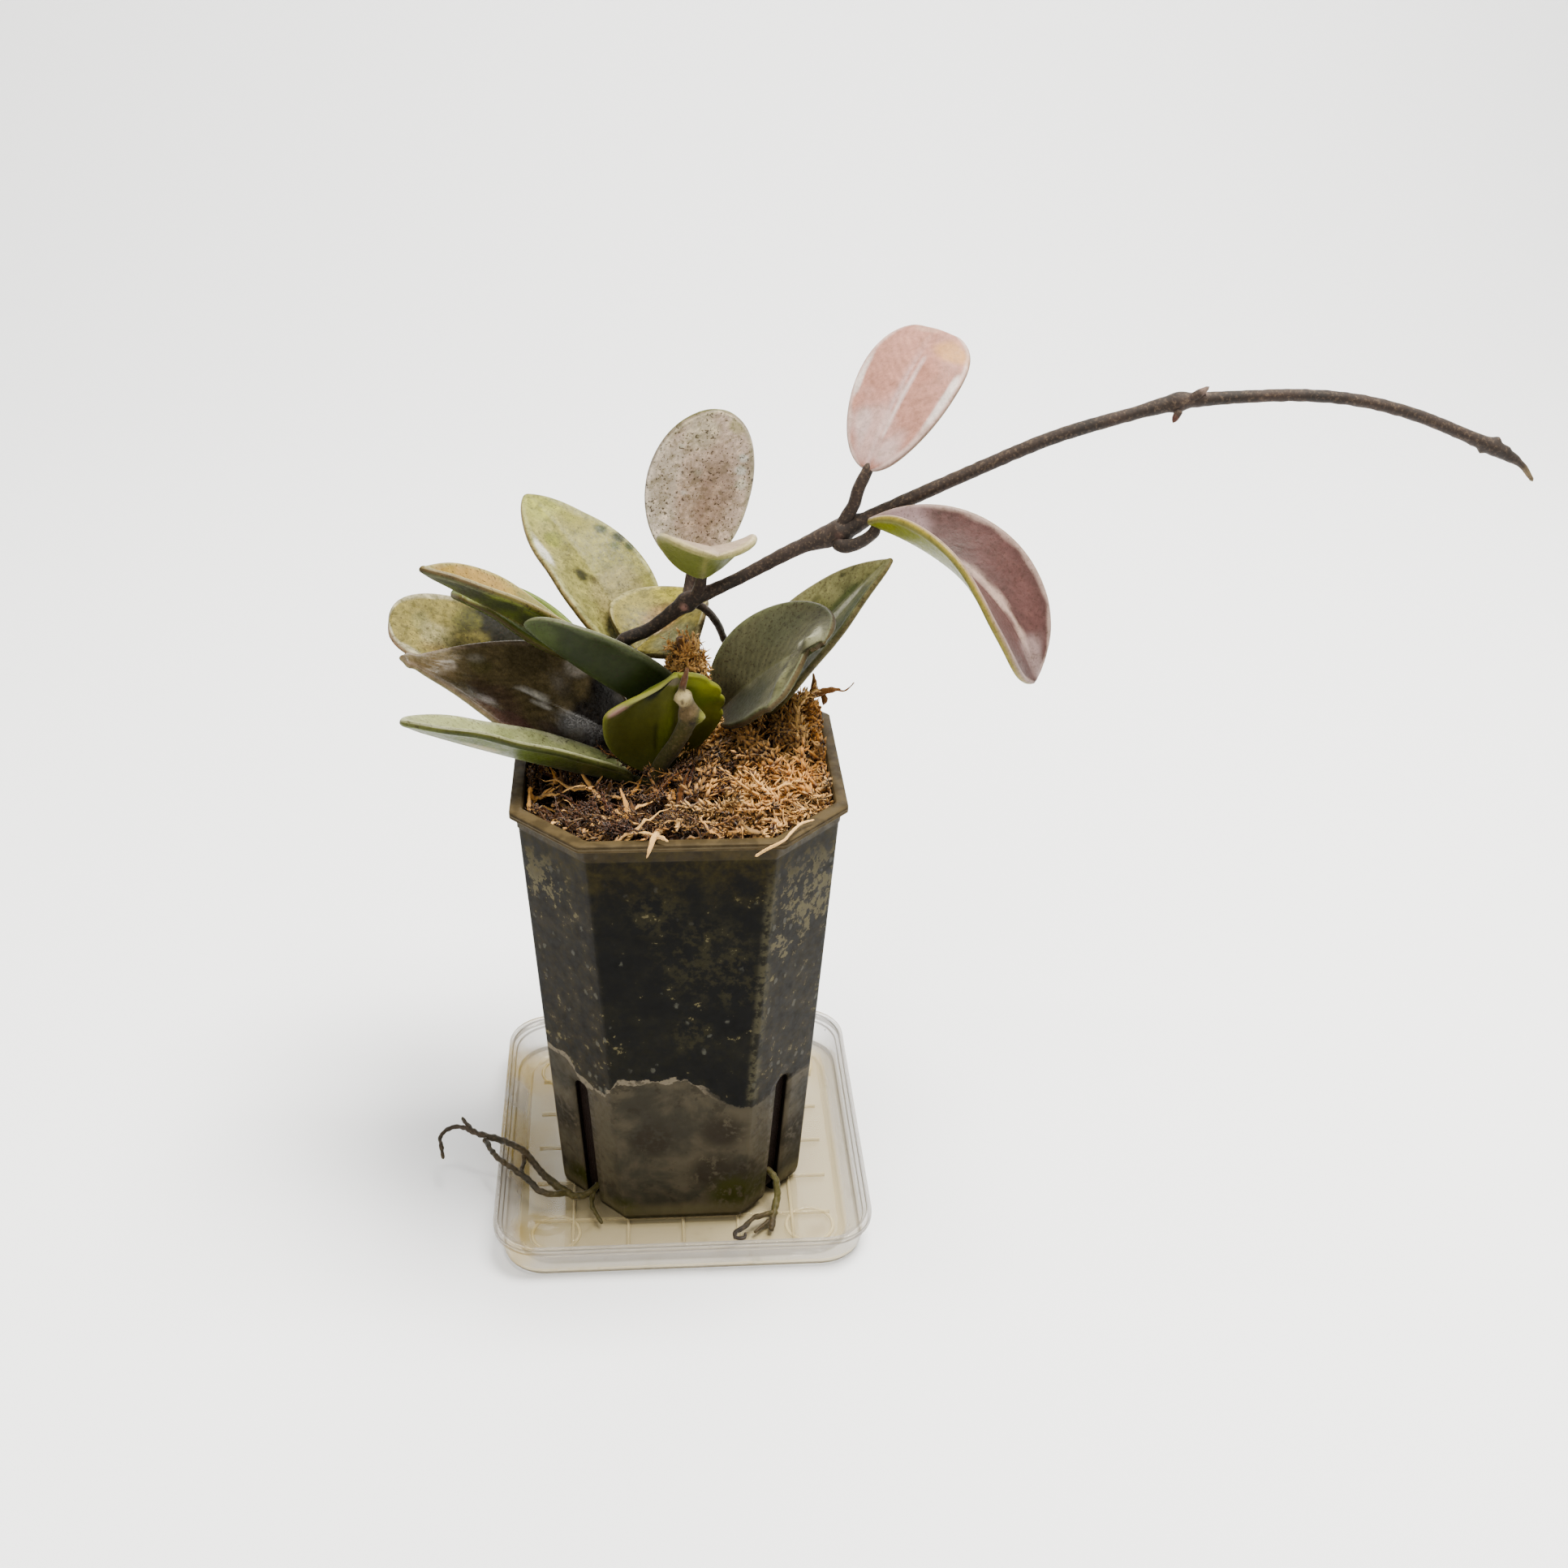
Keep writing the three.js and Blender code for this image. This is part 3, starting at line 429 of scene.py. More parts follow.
def saucer_profile(sizes):
    """Half width, height and corner radius of each ring, from the foot's middle to the floor's middle.

    Each run lists steps out and up from one point of the section.
    """
    rim, top = SAUCER_TOP.x, SAUCER_TOP.z
    foot, inner, band = rim - SAUCER_FOOT_INSET, rim - sizes.wall / MM, top - 2.2
    runs = [((0, 0.5), [(2, 0), (12, 0), (24, 0), (34, 0)]),
            ((foot, 0), [(-4, 0.5), (-3.4, 0.1), (-0.8, 0), (-0.25, 0.15), (0, 0.6), (0.25, 1.6)]),
            ((rim, band), [(-0.85, -0.25), (-0.72, 0), (-0.15, 0.12), (0, 0.3), (0, 0.85), (-0.16, 1.0),
                           (-0.16, 1.15), (0, 1.3)]),
            ((rim, top), [(0, -0.35), (-0.12, -0.1), (-0.35, 0)]),
            ((inner, top), [(0.3, 0), (0.08, -0.1), (0, -0.4)]),
            ((inner, band), [(-0.9, 0), (-1.0, -0.3)]),
            ((inner, SAUCER_FLOOR), [(-4.2, 2.4), (-4.8, 1.0), (-5.8, 0.2), (-7.2, 0)]),
            ((0, SAUCER_FLOOR), [(r, 0) for r in (40, 32, 24, 16, 8, 2)])]
    rings = [(x + out, z + up) for (x, z), steps in runs for out, up in steps]
    return [(half, z, min(SAUCER_CORNER - (rim - half) * 0.35, half * 0.95)) for half, z in rings]


def rib(spine, side, height):
    """Grid of a low rib on the floor: a half-round section carried along a flat spine, square to it."""
    flat = spine[:, None] + RIB_SECTION[:, :1] * RIB_WIDTH * side[:, None]
    heights = np.broadcast_to(SAUCER_FLOOR + RIB_SECTION[:, 1] * height, flat.shape[:2])
    return np.concatenate([flat, heights[..., None]], -1)


def build_saucer(sizes):
    """Tray, the floor's grid of ribs and a ring in each corner of the floor, as one clear piece."""
    skin = Skin()
    skin.add(np.stack([rounded_square(*ring) for ring in saucer_profile(sizes)])[::-1, ::-1])
    height = sizes.rib / MM
    run = np.linspace(-1, 1, 12) * (SAUCER_TOP.x - RIB_END_INSET)
    for place in RIB_PITCH * np.arange(-2, 3):
        across = np.full(len(run), place)
        skin.add(rib(np.column_stack([across, run]), np.array([[1.0, 0]]), height))
        skin.add(rib(np.column_stack([-run, across]), np.array([[0, 1.0]]), 0.8 * height))
    turn = np.linspace(0, 2 * np.pi, 40)
    spokes = np.column_stack([np.cos(turn), np.sin(turn)])
    for corner in ((-1, -1), (-1, 1), (1, -1), (1, 1)):
        spine = CORNER_RING_PLACE * np.array(corner) + CORNER_RING_RADIUS * spokes
        skin.add(rib(spine, spokes, CORNER_RING_HEIGHT), caps=False)
    skin.piece("clear_tray", clear_plastic(sizes), "saucer", "clear_plastic")


def clear_plastic(sizes):
    """Clear moulded plastic: see-through face on, denser at grazing angles, with faint brown marks."""
    finish = Finish("clear saucer plastic", Roughness=0.1, IOR=1.46)
    x, y, z = finish.axes()
    smudge = finish.noise(9, 4, 0.6, 0.6).band(0.56, 0.72)
    speck = finish.cells(3.4).band(0.10, 0.05) * finish.noise(14, 2).band(0.55, 0.6)
    aged = x.band(-0.02, -0.05).at_least(y.band(0.02, 0.05))
    bottom = z.band(0.0035, 0.0022)
    lines = strongest(abs(z - level * MM).band(half * MM, 0.4 * half * MM) for level, half in SAUCER_LINES)
    tinted = finish.mix((*sizes.tint, 1), rgba("dccfae", 0.8), bottom)
    tinted = tinted.toward(rgba("c8b070", 0.7), aged * finish.noise(18, 3, 0.5).band(0.42, 0.6))
    tinted = tinted.toward("9a8660", smudge * 0.5).toward("4a3a28", speck)
    # Painted shade: darker lines along the rim, under its lip and at the foot's edge.
    tinted = tinted.toward(rgba("68635a", 0.6), lines * 0.8)
    edge = finish.node("LayerWeight", "Facing", {"Blend": 0.3})
    cover = edge * 0.75 + sizes.cover + smudge * 0.12 + lines * 0.42 + aged.at_least(bottom) * 0.1
    finish.set(Base_Color=tinted, Alpha=cover.at_least(speck),
               Normal=finish.bump(finish.noise(6, 2), 0.25, 0.15))
    return finish.material


# Pot

POT_LEG, POT_FOOT, POT_FLOOR = 16.3, POT_LOW.z, 1.4
POT_EDGE_RADIUS = 1.6
# Height and half width of the wall, low and high
WALL_LOW, WALL_HIGH = (4.5, 31.7), (122.9, 38.3)
# Steps of the section: inset and lift round the foot, then out and lift over the lined rim
FOOT_STEPS = ((24, 0.5), (16, 0.5), (8, 0.5), (3.6, 0.5), (3.2, 0.1), (2.4, 0), (1.7, 0.12), (0.9, 0.6),
              (0.3, 1.4), (0.03, 2.4))
RIM_STEPS = ((-0.25, 0.0), (-0.02, 0.12), (0, 0.3), (0, 0.62), (-0.12, 0.72), (-0.12, 0.82), (0, 0.92),
             (0, 1.22), (-0.1, 1.32), (-0.1, 1.42), (0, 1.5), (-0.03, 1.68), (-0.18, 1.8))
SLOT_TOP, SLOT_WIDTH = 46.0, 4.8
SLOT_MIDDLE, SLOT_CUT_DEPTH = 22.0, 6
RIM_LINE = POT_HIGH.z - 1.0
# In the finish: the walls' slant, the mineral edge's place at the foot, and a cut corner's slant and reach
SLANT, EDGE_FOOT = 0.056, 0.0150
CORNER_SLANT, CORNER_REACH = 2 * 0.0557, 0.04665


def wall_half(z):
    """Half width of the tapered wall at a height."""
    return np.interp(z, [0, 200], [WALL_LOW[1] + (t - WALL_LOW[0]) * (WALL_HIGH[1] - WALL_LOW[1])
                                   / (WALL_HIGH[0] - WALL_LOW[0]) for t in (0, 200)])


def cut_square(half, z, inset=0.0, radius=POT_EDGE_RADIUS):
    """Ring of a square with cut corners whose eight edges are rounded, with points along every side.

    Each corner is an arc through its eighth turn, and inset moves all eight sides inwards by the same
    distance.
    """
    side = half - inset
    short = side - (POT_LEG - (2 - math.sqrt(2)) * inset)
    octagon = four_times(np.array([(side, short), (short, side)]))
    setback = radius * math.tan(math.pi / 8)
    t = np.linspace(0, 1, 6)[:, None]
    ring = []
    for k in range(8):
        here, before, after = octagon[k], octagon[k - 1], octagon[(k + 1) % 8]
        enter = here + unit(before - here) * setback
        leave = here + unit(after - here) * setback
        far = after + unit(here - after) * setback
        ring.append((1 - t) ** 2 * enter + 2 * t * (1 - t) * here + t**2 * leave)
        ring.append(leave + (far - leave) * np.linspace(0, 1, 8)[1:-1, None])
    return level_ring(np.vstack(ring), z)


def pot_rings(sizes):
    """Rings from the underside's middle up the outside, over the lined rim and down to the floor."""
    top, rim, wall = POT_HIGH.z, POT_HIGH.x, sizes.wall / MM
    band, floor, foot = top - 1.8, POT_FOOT + POT_FLOOR, wall_half(POT_FOOT)
    rings = [(foot, POT_FOOT + lift, inset) for inset, lift in FOOT_STEPS]
    rings += [(wall_half(z), z, 0) for z in np.linspace(POT_FOOT + 3.2, band - 4.0, 60)]
    rings += [(wall_half(band - 3.6), band - 3.6, 0), (wall_half(band - 3.4) + 0.25, band - 3.3, 0),
              (wall_half(band - 0.3) + 0.25, band - 0.3, 0), (wall_half(band) + 0.35, band, 0)]
    rings += [(rim + out, band + lift, 0) for out, lift in RIM_STEPS]
    rings += [(wall_half(top), top, wall - 0.35), (wall_half(top), top - 0.15, wall - 0.1),
              (wall_half(band), band - 0.2, wall), (wall_half(band - 6), band - 6, wall)]
    rings += [(wall_half(z), z, wall) for z in np.linspace(90, floor + 3, 8)]
    rings += [(wall_half(floor), floor, inset) for inset in (wall + 1.5, 10, 18, 26)]
    return np.stack([cut_square(*ring) for ring in rings])


def slot_cutters():
    """Upright blocks with round ends that cut one slot low in each cut corner, as one mesh."""
    skin = Skin()
    half, foot = SLOT_WIDTH / 2, POT_FOOT - 2
    reach = (2 * wall_half(SLOT_MIDDLE) - POT_LEG) / math.sqrt(2)
    arc = np.linspace(0, np.pi, 9)
    outline = np.vstack([[(-half, foot), (half, foot)],
                         np.stack([half * np.cos(arc), SLOT_TOP - half + half * np.sin(arc)], -1)])
    for corner in range(4):
        angle = np.pi / 4 * (2 * corner + 1)
        out, side = np.array([np.cos(angle), np.sin(angle)]), np.array([-np.sin(angle), np.cos(angle)])
        skin.add(np.stack([np.column_stack([out * distance + outline[:, :1] * side, outline[:, 1]])
                           for distance in (reach - SLOT_CUT_DEPTH, reach + SLOT_CUT_DEPTH)]))
    mesh = bpy.data.meshes.new("slot cutters")
    faces = [*np.concatenate(skin.quads).tolist(), *np.concatenate(skin.triangles).tolist()]
    mesh.from_pydata((np.concatenate(skin.points) * MM).tolist(), [], faces)
    return new_object("slot cutters", mesh)


def carve(piece, cutter):
    """Cuts one mesh out of another, keeps the result and removes the cutter."""
    cut = piece.modifiers.new("slots", "BOOLEAN")
    cut.operation = "DIFFERENCE"
    cut.solver = "EXACT"
    cut.object = cutter
    bpy.context.view_layer.update()
    carved = bpy.data.meshes.new_from_object(piece.evaluated_get(bpy.context.evaluated_depsgraph_get()))
    before, leftover = piece.data, cutter.data
    piece.modifiers.clear()
    piece.data = carved
    carved.name = before.name
    bpy.data.meshes.remove(before)
    bpy.data.objects.remove(cutter)
    bpy.data.meshes.remove(leftover)


def build_pot(sizes):
    """Pot shell with its lined rim and four slots."""
    skin = Skin()
    skin.add(pot_rings(sizes))
    carve(skin.piece("pot_shell", smoky_plastic(sizes), "pot", "pot_plastic"), slot_cutters())


# Soft round zones of the pot's finish, each x, y, z and reach
PALE_ZONES = [(29, -29, 107, 17), (26, -31, 93, 11), (31, -25, 98, 12), (-33, -26, 109, 12),
              (30, 20, 104, 15), (-30, 28, 100, 16), (0, 38, 96, 14)]
OLIVE_ZONES = [(6, -37, 90, 17), (13, -36, 82, 10), (-6, -37, 104, 9), (2, -36, 66, 8), (-10, 36, 80, 16),
               (36, 4, 70, 16), (-36, -2, 88, 16)]
STAIN_ZONES = [(8, -33, 20, 9), (16, -32, 19, 7), (-8, -34, 32, 8), (10, -34, 34, 8), (-31, -20, 30, 8),
               (30, -20, 22, 8), (0, 33, 26, 12)]
ALGAE_ZONES = [(13, -32, 12, 9), (20, -28, 9, 8), (-26, -22, 8, 9), (24, 22, 10, 10), (-16, -32, 7, 6)]


def mineral_level(finish, x, z, sizes):
    """Height above the wavy line that the water left: steps up and down along x, with a fine wobble."""
    steps = x.band(-0.0200, -0.0165, 0, 0.0055) + x.band(0.0, 0.014, 0, -0.0095)
    steps = steps + x.band(-0.024, -0.030, 0, 0.0055)
    wobble = (finish.noise(4, 5, 0.62) - 0.5) * 0.0048
    return z - (steps + wobble + sizes.water_line)


def smoky_plastic(sizes):
    """Smoky plastic with the wet moss showing through: charcoal, olive and beige crumbs, a wavy mineral
    line, the greyish, algae-stained foot below it, and on top of them the rim and the dark slots."""
    finish = Finish("smoky pot plastic", Roughness=0.45, IOR=1.46, Specular_IOR_Level=0.05)
    x, y, z = finish.axes()
    far, deep = abs(x), abs(y)
    least = far.at_most(deep)
    slanted = (least - z * SLANT).band(0.0138, 0.0172)
    cloud = finish.noise(15, 5, 0.6, 0.3)
    crumb = finish.noise(4.6, 7, 0.66, 0.15)
    dust = finish.noise(1.5, 4, 0.65)
    mottle = crumb * 0.6 + dust * 0.4
    face = finish.mix("131416", "2b2b25", (cloud * 0.4 + mottle * 0.6).band(0.44, 0.62))
    face = face.toward("3f3e33", finish.zones(OLIVE_ZONES) * mottle.band(0.47, 0.56))
    flank = finish.mix("211f1a", "47433a", mottle.band(0.42, 0.62))
    shade = face.toward(flank, slanted).filtered(0.58, 0.53, 0.38)
    pale = (finish.zones(PALE_ZONES) * 0.095 + mottle + slanted * 0.02).band(0.605, 0.64)
    shade = shade.toward(finish.mix("4c493c", "8a8268", dust), pale * 0.85)
    fleck = ((dust - 0.5) * 0.5 + finish.cells(3.4, (1, 1, 0.7))).band(0.24, 0.14)
    shade = shade.toward("6e6d64", fleck * (slanted * 0.08 + finish.noise(9, 3)).band(0.53, 0.62) * 0.5)
    edge = abs(x - z * SLANT - EDGE_FOOT).band(0.0022, 0.0006) * mottle.band(0.44, 0.54, 0.1, 0.7)
    shade = shade.toward("5c5848", edge)
    mossy = finish.mix("1c180f", "3a341f", mottle.band(0.4, 0.62))
    shade = shade.toward(mossy, ((crumb - 0.5) * 0.03 + z).band(0.104, 0.122) * 0.9)

    foot = finish.mix("3a372f", "565044", cloud.band(0.38, 0.62))
    stain = finish.zones(STAIN_ZONES) * mottle.band(0.4, 0.5)
    foot = foot.toward("322d25", stain.at_least(crumb.band(0.56, 0.64, 0, 0.6)))
    foot = foot.toward("38381f", finish.zones(ALGAE_ZONES) * mottle.band(0.42, 0.5))
    foot = foot.toward("6a6450", z.band(0.0105, 0.0065, 0, 0.7))
    foot = foot.toward("2c2819", z.band(0.0055, 0.0045, 0, 0.8))
    level = mineral_level(finish, x, z, sizes)
    shade = shade.toward(foot, level.band(0.0004, -0.0004))
    thick = finish.noise(6, 3).band(0.4, 0.62, 0.0001, 0.0011)
    crust = (abs(level) - thick).band(0.0002, -0.0002)
    strong = x.band(0.008, 0.003, 0.15, 1) * dust.band(0.35, 0.5, 0.35, 1)
    shade = shade.toward((*sizes.mineral, 1), crust * strong)

    rim = finish.mix("4c4334", "605543", finish.noise(4, 4).band(0.4, 0.6))
    rim = rim.toward("8f8470", abs(z - RIM_LINE * MM).band(0.00025, 0.0001) * 0.6)
    top = POT_HIGH.z
    shade = shade.toward(rim, z.band((top - 5.6) * MM, (top - 5.2) * MM, 0, 0.3))
    shade = shade.toward(rim, z.band((top - 2.3) * MM, (top - 2.0) * MM))
    # Near-black painted shade in the slots of the cut corners, below 47 to 49 mm.
    slot_shade = (z * CORNER_SLANT + CORNER_REACH - (far + deep)).band(0.0003, 0.0007)
    shade = shade.toward("0c0805", slot_shade * least.band(0.0185, 0.0195) * z.band(0.049, 0.047))
    finish.set(Base_Color=shade, Roughness=dust.band(0.3, 0.7, 0.4, 0.6),
               Normal=finish.bump(dust, 0.3, 0.04, finish.bump(cloud, 0.3, 0.25)))
    return finish.material


# Moss

MOSS_LEVEL, MOSS_FRONT_RISE, MOSS_RELIEF = 119.0, 2.6, 0.8
MOSS_DEPTH = 0.85
MOSS_HILLS = ((29, 21, 9.5, 11.5), (20, -12, 3, 14), (0, 20, 5, 10))
BED_INSET = 1.7
CLUMP = [(0, 19, 112, 8.5), (0.5, 17.5, 124, 7), (1.5, 15, 134, 5.6), (2.6, 12.8, 143, 4.8),
         (2.2, 11.6, 149.5, 3.2), (1, 11.4, 152.5, 1)]
# Layers of shreds: name, seed, share of the number, kind, how deep they sit, and how much painted shade
# darkens them
MOSS_LAYERS = (("moss_under_shreds", 12, 0.2, "strip", 2.2, 0.28),
               ("moss_deep_plumes", 15, 0.36, "plume", 1.3, 0.1),
               ("moss_top_shreds", 19, 0.36, "plume", -0.8, -0.06),
               ("moss_ribbons", 28, 0.18, "ribbon", -0.6, 0.0))
# Kinds of shred: rings, sides, share of the width, and flatness
SHRED_KINDS = {"strip": (9, 5, 0.9, 0.62), "plume": (7, 4, 0.5, 0.8), "ribbon": (16, 6, 0.75, 0.22)}
# Faces of a scale leaf over its points: foot, two by the sides, two by the shoulders, tip and ridge
SLIVER = np.array([(6, 1, 0), (6, 3, 1), (6, 5, 3), (6, 4, 5), (6, 2, 4), (6, 0, 2), (0, 1, 2), (1, 3, 2),
                   (3, 4, 2), (3, 5, 4)])
# Tones of a scale leaf's points about its own: painted shade at the foot, a painted highlight at the tip
SLIVER_SHADING = np.array([-0.6, -0.32, -0.32, -0.04, -0.04, 0.2, 0.06])
SLIVER_ALONG = np.array([0, 0.15, 0.15, 0.6, 0.6, 1, 0.5])
BED_LEAFLETS, CLUMP_LEAFLETS = 30, 10


def moss_height(x, y):
    """Top of the moss: a level, a rise along the front rim, hills, and lumps from products of sines."""
    front = MOSS_FRONT_RISE / (1 + np.exp((y + 26) / 3))
    lumps = np.sin(0.83 * x + 1.1 * np.sin(0.47 * y)) * np.cos(0.71 * y - 0.9 * np.sin(0.39 * x))
    crumbs = 0.5 * np.sin(1.9 * x + 1.3 * y) * np.sin(1.4 * x - 2.1 * y)
    hills = sum(height * np.exp(-((x - cx) ** 2 + (y - cy) ** 2) / (2 * spread**2))
                for cx, cy, height, spread in MOSS_HILLS)
    return MOSS_LEVEL + front + hills + MOSS_RELIEF * (lumps + crumbs)


def inside_pot(points, clearance=1.9):
    """Points moved in, where they lie past it, to the octagon of the pot's inner wall near the rim."""
    half = WALL_HIGH[1] - clearance
    reach = 2 * half - POT_LEG + 1
    x, y = np.clip(points[..., 0], -half, half), np.clip(points[..., 1], -half, half)
    over = np.maximum(0, np.abs(x) + np.abs(y) - reach) / 2
    return np.stack([x - np.sign(x) * over, y - np.sign(y) * over, points[..., 2]], -1)


def moss_bed():
    """Dark body of moss: rings of the pot's inner outline up to the top, then shrinking over its relief."""
    rings = [inside_pot(cut_square(wall_half(z), z, BED_INSET)) for z in (5.6, 8, 40, 80, 110)]
    outline = inside_pot(cut_square(wall_half(118), 0, BED_INSET, radius=2.5))
    for share in np.linspace(1, 0.02, 46) ** 0.8:
        ring = outline * (share, share, 1)
        ring[:, 2] = moss_height(ring[:, 0], ring[:, 1]) - 1.6 + 0.7 * ripples(ring * (1, 1, 0), 3.5, 5)
        rings.append(ring)
    return np.stack(rings)


def shred_grids(random, feet, heading, up, length, width, bend, lift, follow, kind):
    """Feathery shreds, n x rings x sides x 3: a bent and lifted spine, with a three-lobed twisting section
    whose width swells and drops like overlapping scales and fades to a thin free end."""
    rings, sides, flat = kind

    def draw(low, high):
        """One even random number for each shred."""
        return random.uniform(low, high, (len(feet), 1, 1))

    t = np.linspace(0, 1, rings)[None, :, None]
    side = unit(np.cross(up, heading))[:, None]
    size = length[:, None, None]
    spine = feet[:, None] + heading[:, None] * size * t + side * (bend[:, None, None] * size * t**2)
    curl = draw(-0.35, 0.35) * size
    spine = follow(spine + side * curl * np.sin(np.pi * t) * t + up[:, None] * lift[:, None, None] * t**1.6)
    saw = (draw(2.6, 4.4) * t + draw(0, 1)) % 1
    taper = np.sqrt(np.clip(1 - (2 * t - 0.85) ** 4 / 1.75, 0, 1)) * (1 - 0.72 * t**3)
    radius = 0.5 * width[:, None, None] * taper * (1.12 - 0.5 * saw)
    twist = draw(-7, 7) * t + draw(0, 6.28)
    return carried(spine, up[:, None], radius * (1 + 0.34 * np.cos(3 * circle(sides) + twist)), flat)


def leaflets(random, spine, up, span, width, number):
    """Small scale leaves in a spiral along each spine, pointing forward, as seven-point slivers.

    Each has its foot on the spine and leans out by 25 to 55 degrees, with a raised ridge and a tip that
    curls out; they get shorter towards the free end.
    """
    count, rings = spine.shape[:2]

    def draw(low, high):
        """One even random number for each scale leaf."""
        return random.uniform(low, high, (count, number, 1))

    step = np.arange(number)[:, None]
    t = (step + draw(0, 0.8)) / number
    place = t * (rings - 1.001)
    share = place % 1
    low, rows = place[..., 0].astype(int), np.arange(count)[:, None]
    foot = spine[rows, low] * (1 - share) + spine[rows, low + 1] * share
    ahead = unit(spine[rows, low + 1] - spine[rows, low])
    side = unit(np.cross(up[:, None], ahead))
    rise = np.cross(ahead, side)
    angle = 2.4 * step + random.uniform(0, 6.28, (count, 1, 1)) + draw(-0.4, 0.4)
    out = unit(side * np.cos(angle) + rise * (0.75 * np.sin(angle)))
    lean = draw(0.44, 0.96)
    direction = unit(ahead * np.cos(lean) + out * np.sin(lean))
    flank = unit(np.cross(direction, out))
    size = span[:, None, None] * draw(0.7, 1.15) * (1.1 - 0.45 * t)
    half = 0.5 * width[:, None, None] * draw(0.75, 1.2) * (1.1 - 0.45 * t)
    foot = foot + out * half * 0.5
    lift = draw(-0.05, 0.3)
    near, far = foot + direction * size * 0.25, foot + direction * size * 0.62 + out * size * 0.4 * lift
    ridge = foot + direction * size * 0.45 + out * (half * 0.5 + size * 0.2 * lift)
    tip = foot + direction * size + out * size * lift
    shape = np.stack([foot, near + flank * 0.75 * half, near - flank * 0.75 * half,
                      far + flank * 0.8 * half, far - flank * 0.8 * half, tip, ridge], 2)
    return shape.reshape(-1, 7, 3)


def add_shreds(skin, grids, tone, warm):
    """Adds grids of shreds, each with its own tone and warmth, and with how far each ring lies along it."""
    skin.add(grids, tone=tone[:, None, None], warm=warm[:, None, None],
             along=np.linspace(0, 1, grids.shape[1])[:, None])


def bed_shreds(sizes, seed, number, kind, sink, dark):
    """Skin of shreds laid over the moss's surface, which share a direction with their neighbours.

    Strips are plain, plumes carry scale leaves, and ribbons are thin pale curls where the moss was wet,
    which is darker towards the front left.
    """
    random = np.random.default_rng(seed)
    half = WALL_HIGH[1] - 2
    spots = random.uniform(-1, 1, (6 * number, 2)) * half
    inside = np.abs(spots).sum(1) < 2 * half - POT_LEG + 1
    if kind == "ribbon":
        wetness = smooth_step(8, -12, spots[:, 0] + 0.3 * spots[:, 1])
        inside &= random.uniform(size=len(spots)) < 0.08 + 0.92 * wetness * (spots[:, 1] < 8)
    spots = spots[inside][:number]
    number = len(spots)
    x, y = spots.T
    flat = level_ring(spots, 0)
    lumps = ripples(flat, 10, 23)
    dry = smooth_step(-9, 14, x + 0.2 * y + 7 * ripples(flat, 12, 9))
    feet = np.column_stack([spots, moss_height(x, y) - sink + 2.8 * lumps])
    turn = 2 * np.pi * ripples(flat, 30, 27) + random.normal(0, 0.8, number)
    heading = unit(np.column_stack([np.cos(turn), np.sin(turn), random.uniform(-0.2, 0.7, number)]))
    up = np.array([[0, 0, 1.0]])
    length = sizes.shred_length / MM * random.uniform(0.65, 1.3, number) * (0.8 + 0.2 * dry)
    width = sizes.shred_width / MM * random.uniform(0.8, 1.2, number) * (0.6 + 0.4 * dry)
    rise = random.uniform(-0.6, 1.2, number)
    rise = rise + (random.uniform(0, 1, number) > 0.8) * random.uniform(1, 3, number)
    bend = random.uniform(-0.5, 0.5, number) * (1.5 - 0.6 * dry)
    rings, sides, thin, flatness = SHRED_KINDS[kind]
    if kind == "ribbon":
        bend, rise = 3.6 * bend, rise + random.uniform(0, 3, number)
        length, width = 0.45 * length, 1.2 * width

    def follow(spine):
        """Lets a spine rise and fall with the moss under it, inside the pot."""
        base = moss_height(spine[:, :1, 0], spine[:, :1, 1])
        lifted = spine[..., 2] + 0.85 * (moss_height(spine[..., 0], spine[..., 1]) - base)
        return inside_pot(np.stack([spine[..., 0], spine[..., 1], lifted], -1), 2.6)

    grids = shred_grids(random, feet, heading, up, length, width * thin, bend, rise, follow,
                        (rings, sides, flatness))
    # Tone: paler where drier, with painted light on higher lumps and painted shade on the deeper layers.
    tone = 0.03 + 0.62 * dry + 0.24 * lumps + random.normal(0, 0.2, number) - dark
    if kind == "ribbon":
        tone = random.uniform(0.15, 0.95, number)
    tone = np.clip(tone, 0.06, 1)
    warm = np.clip(0.35 + 0.5 * ripples(flat, 14, 33) + random.normal(0, 0.15, number), 0, 1)
    skin = Skin()
    add_shreds(skin, grids, tone, warm)
    if kind == "plume":
        slivers = leaflets(random, grids.mean(2), up, 1.05 * width, 0.42 * width, BED_LEAFLETS)
        tint = np.repeat(tone, BED_LEAFLETS) + random.normal(0, 0.06, len(slivers))
        skin.add_slivers(inside_pot(slivers, 1.6), tint, np.repeat(warm, BED_LEAFLETS), 1)
    return skin


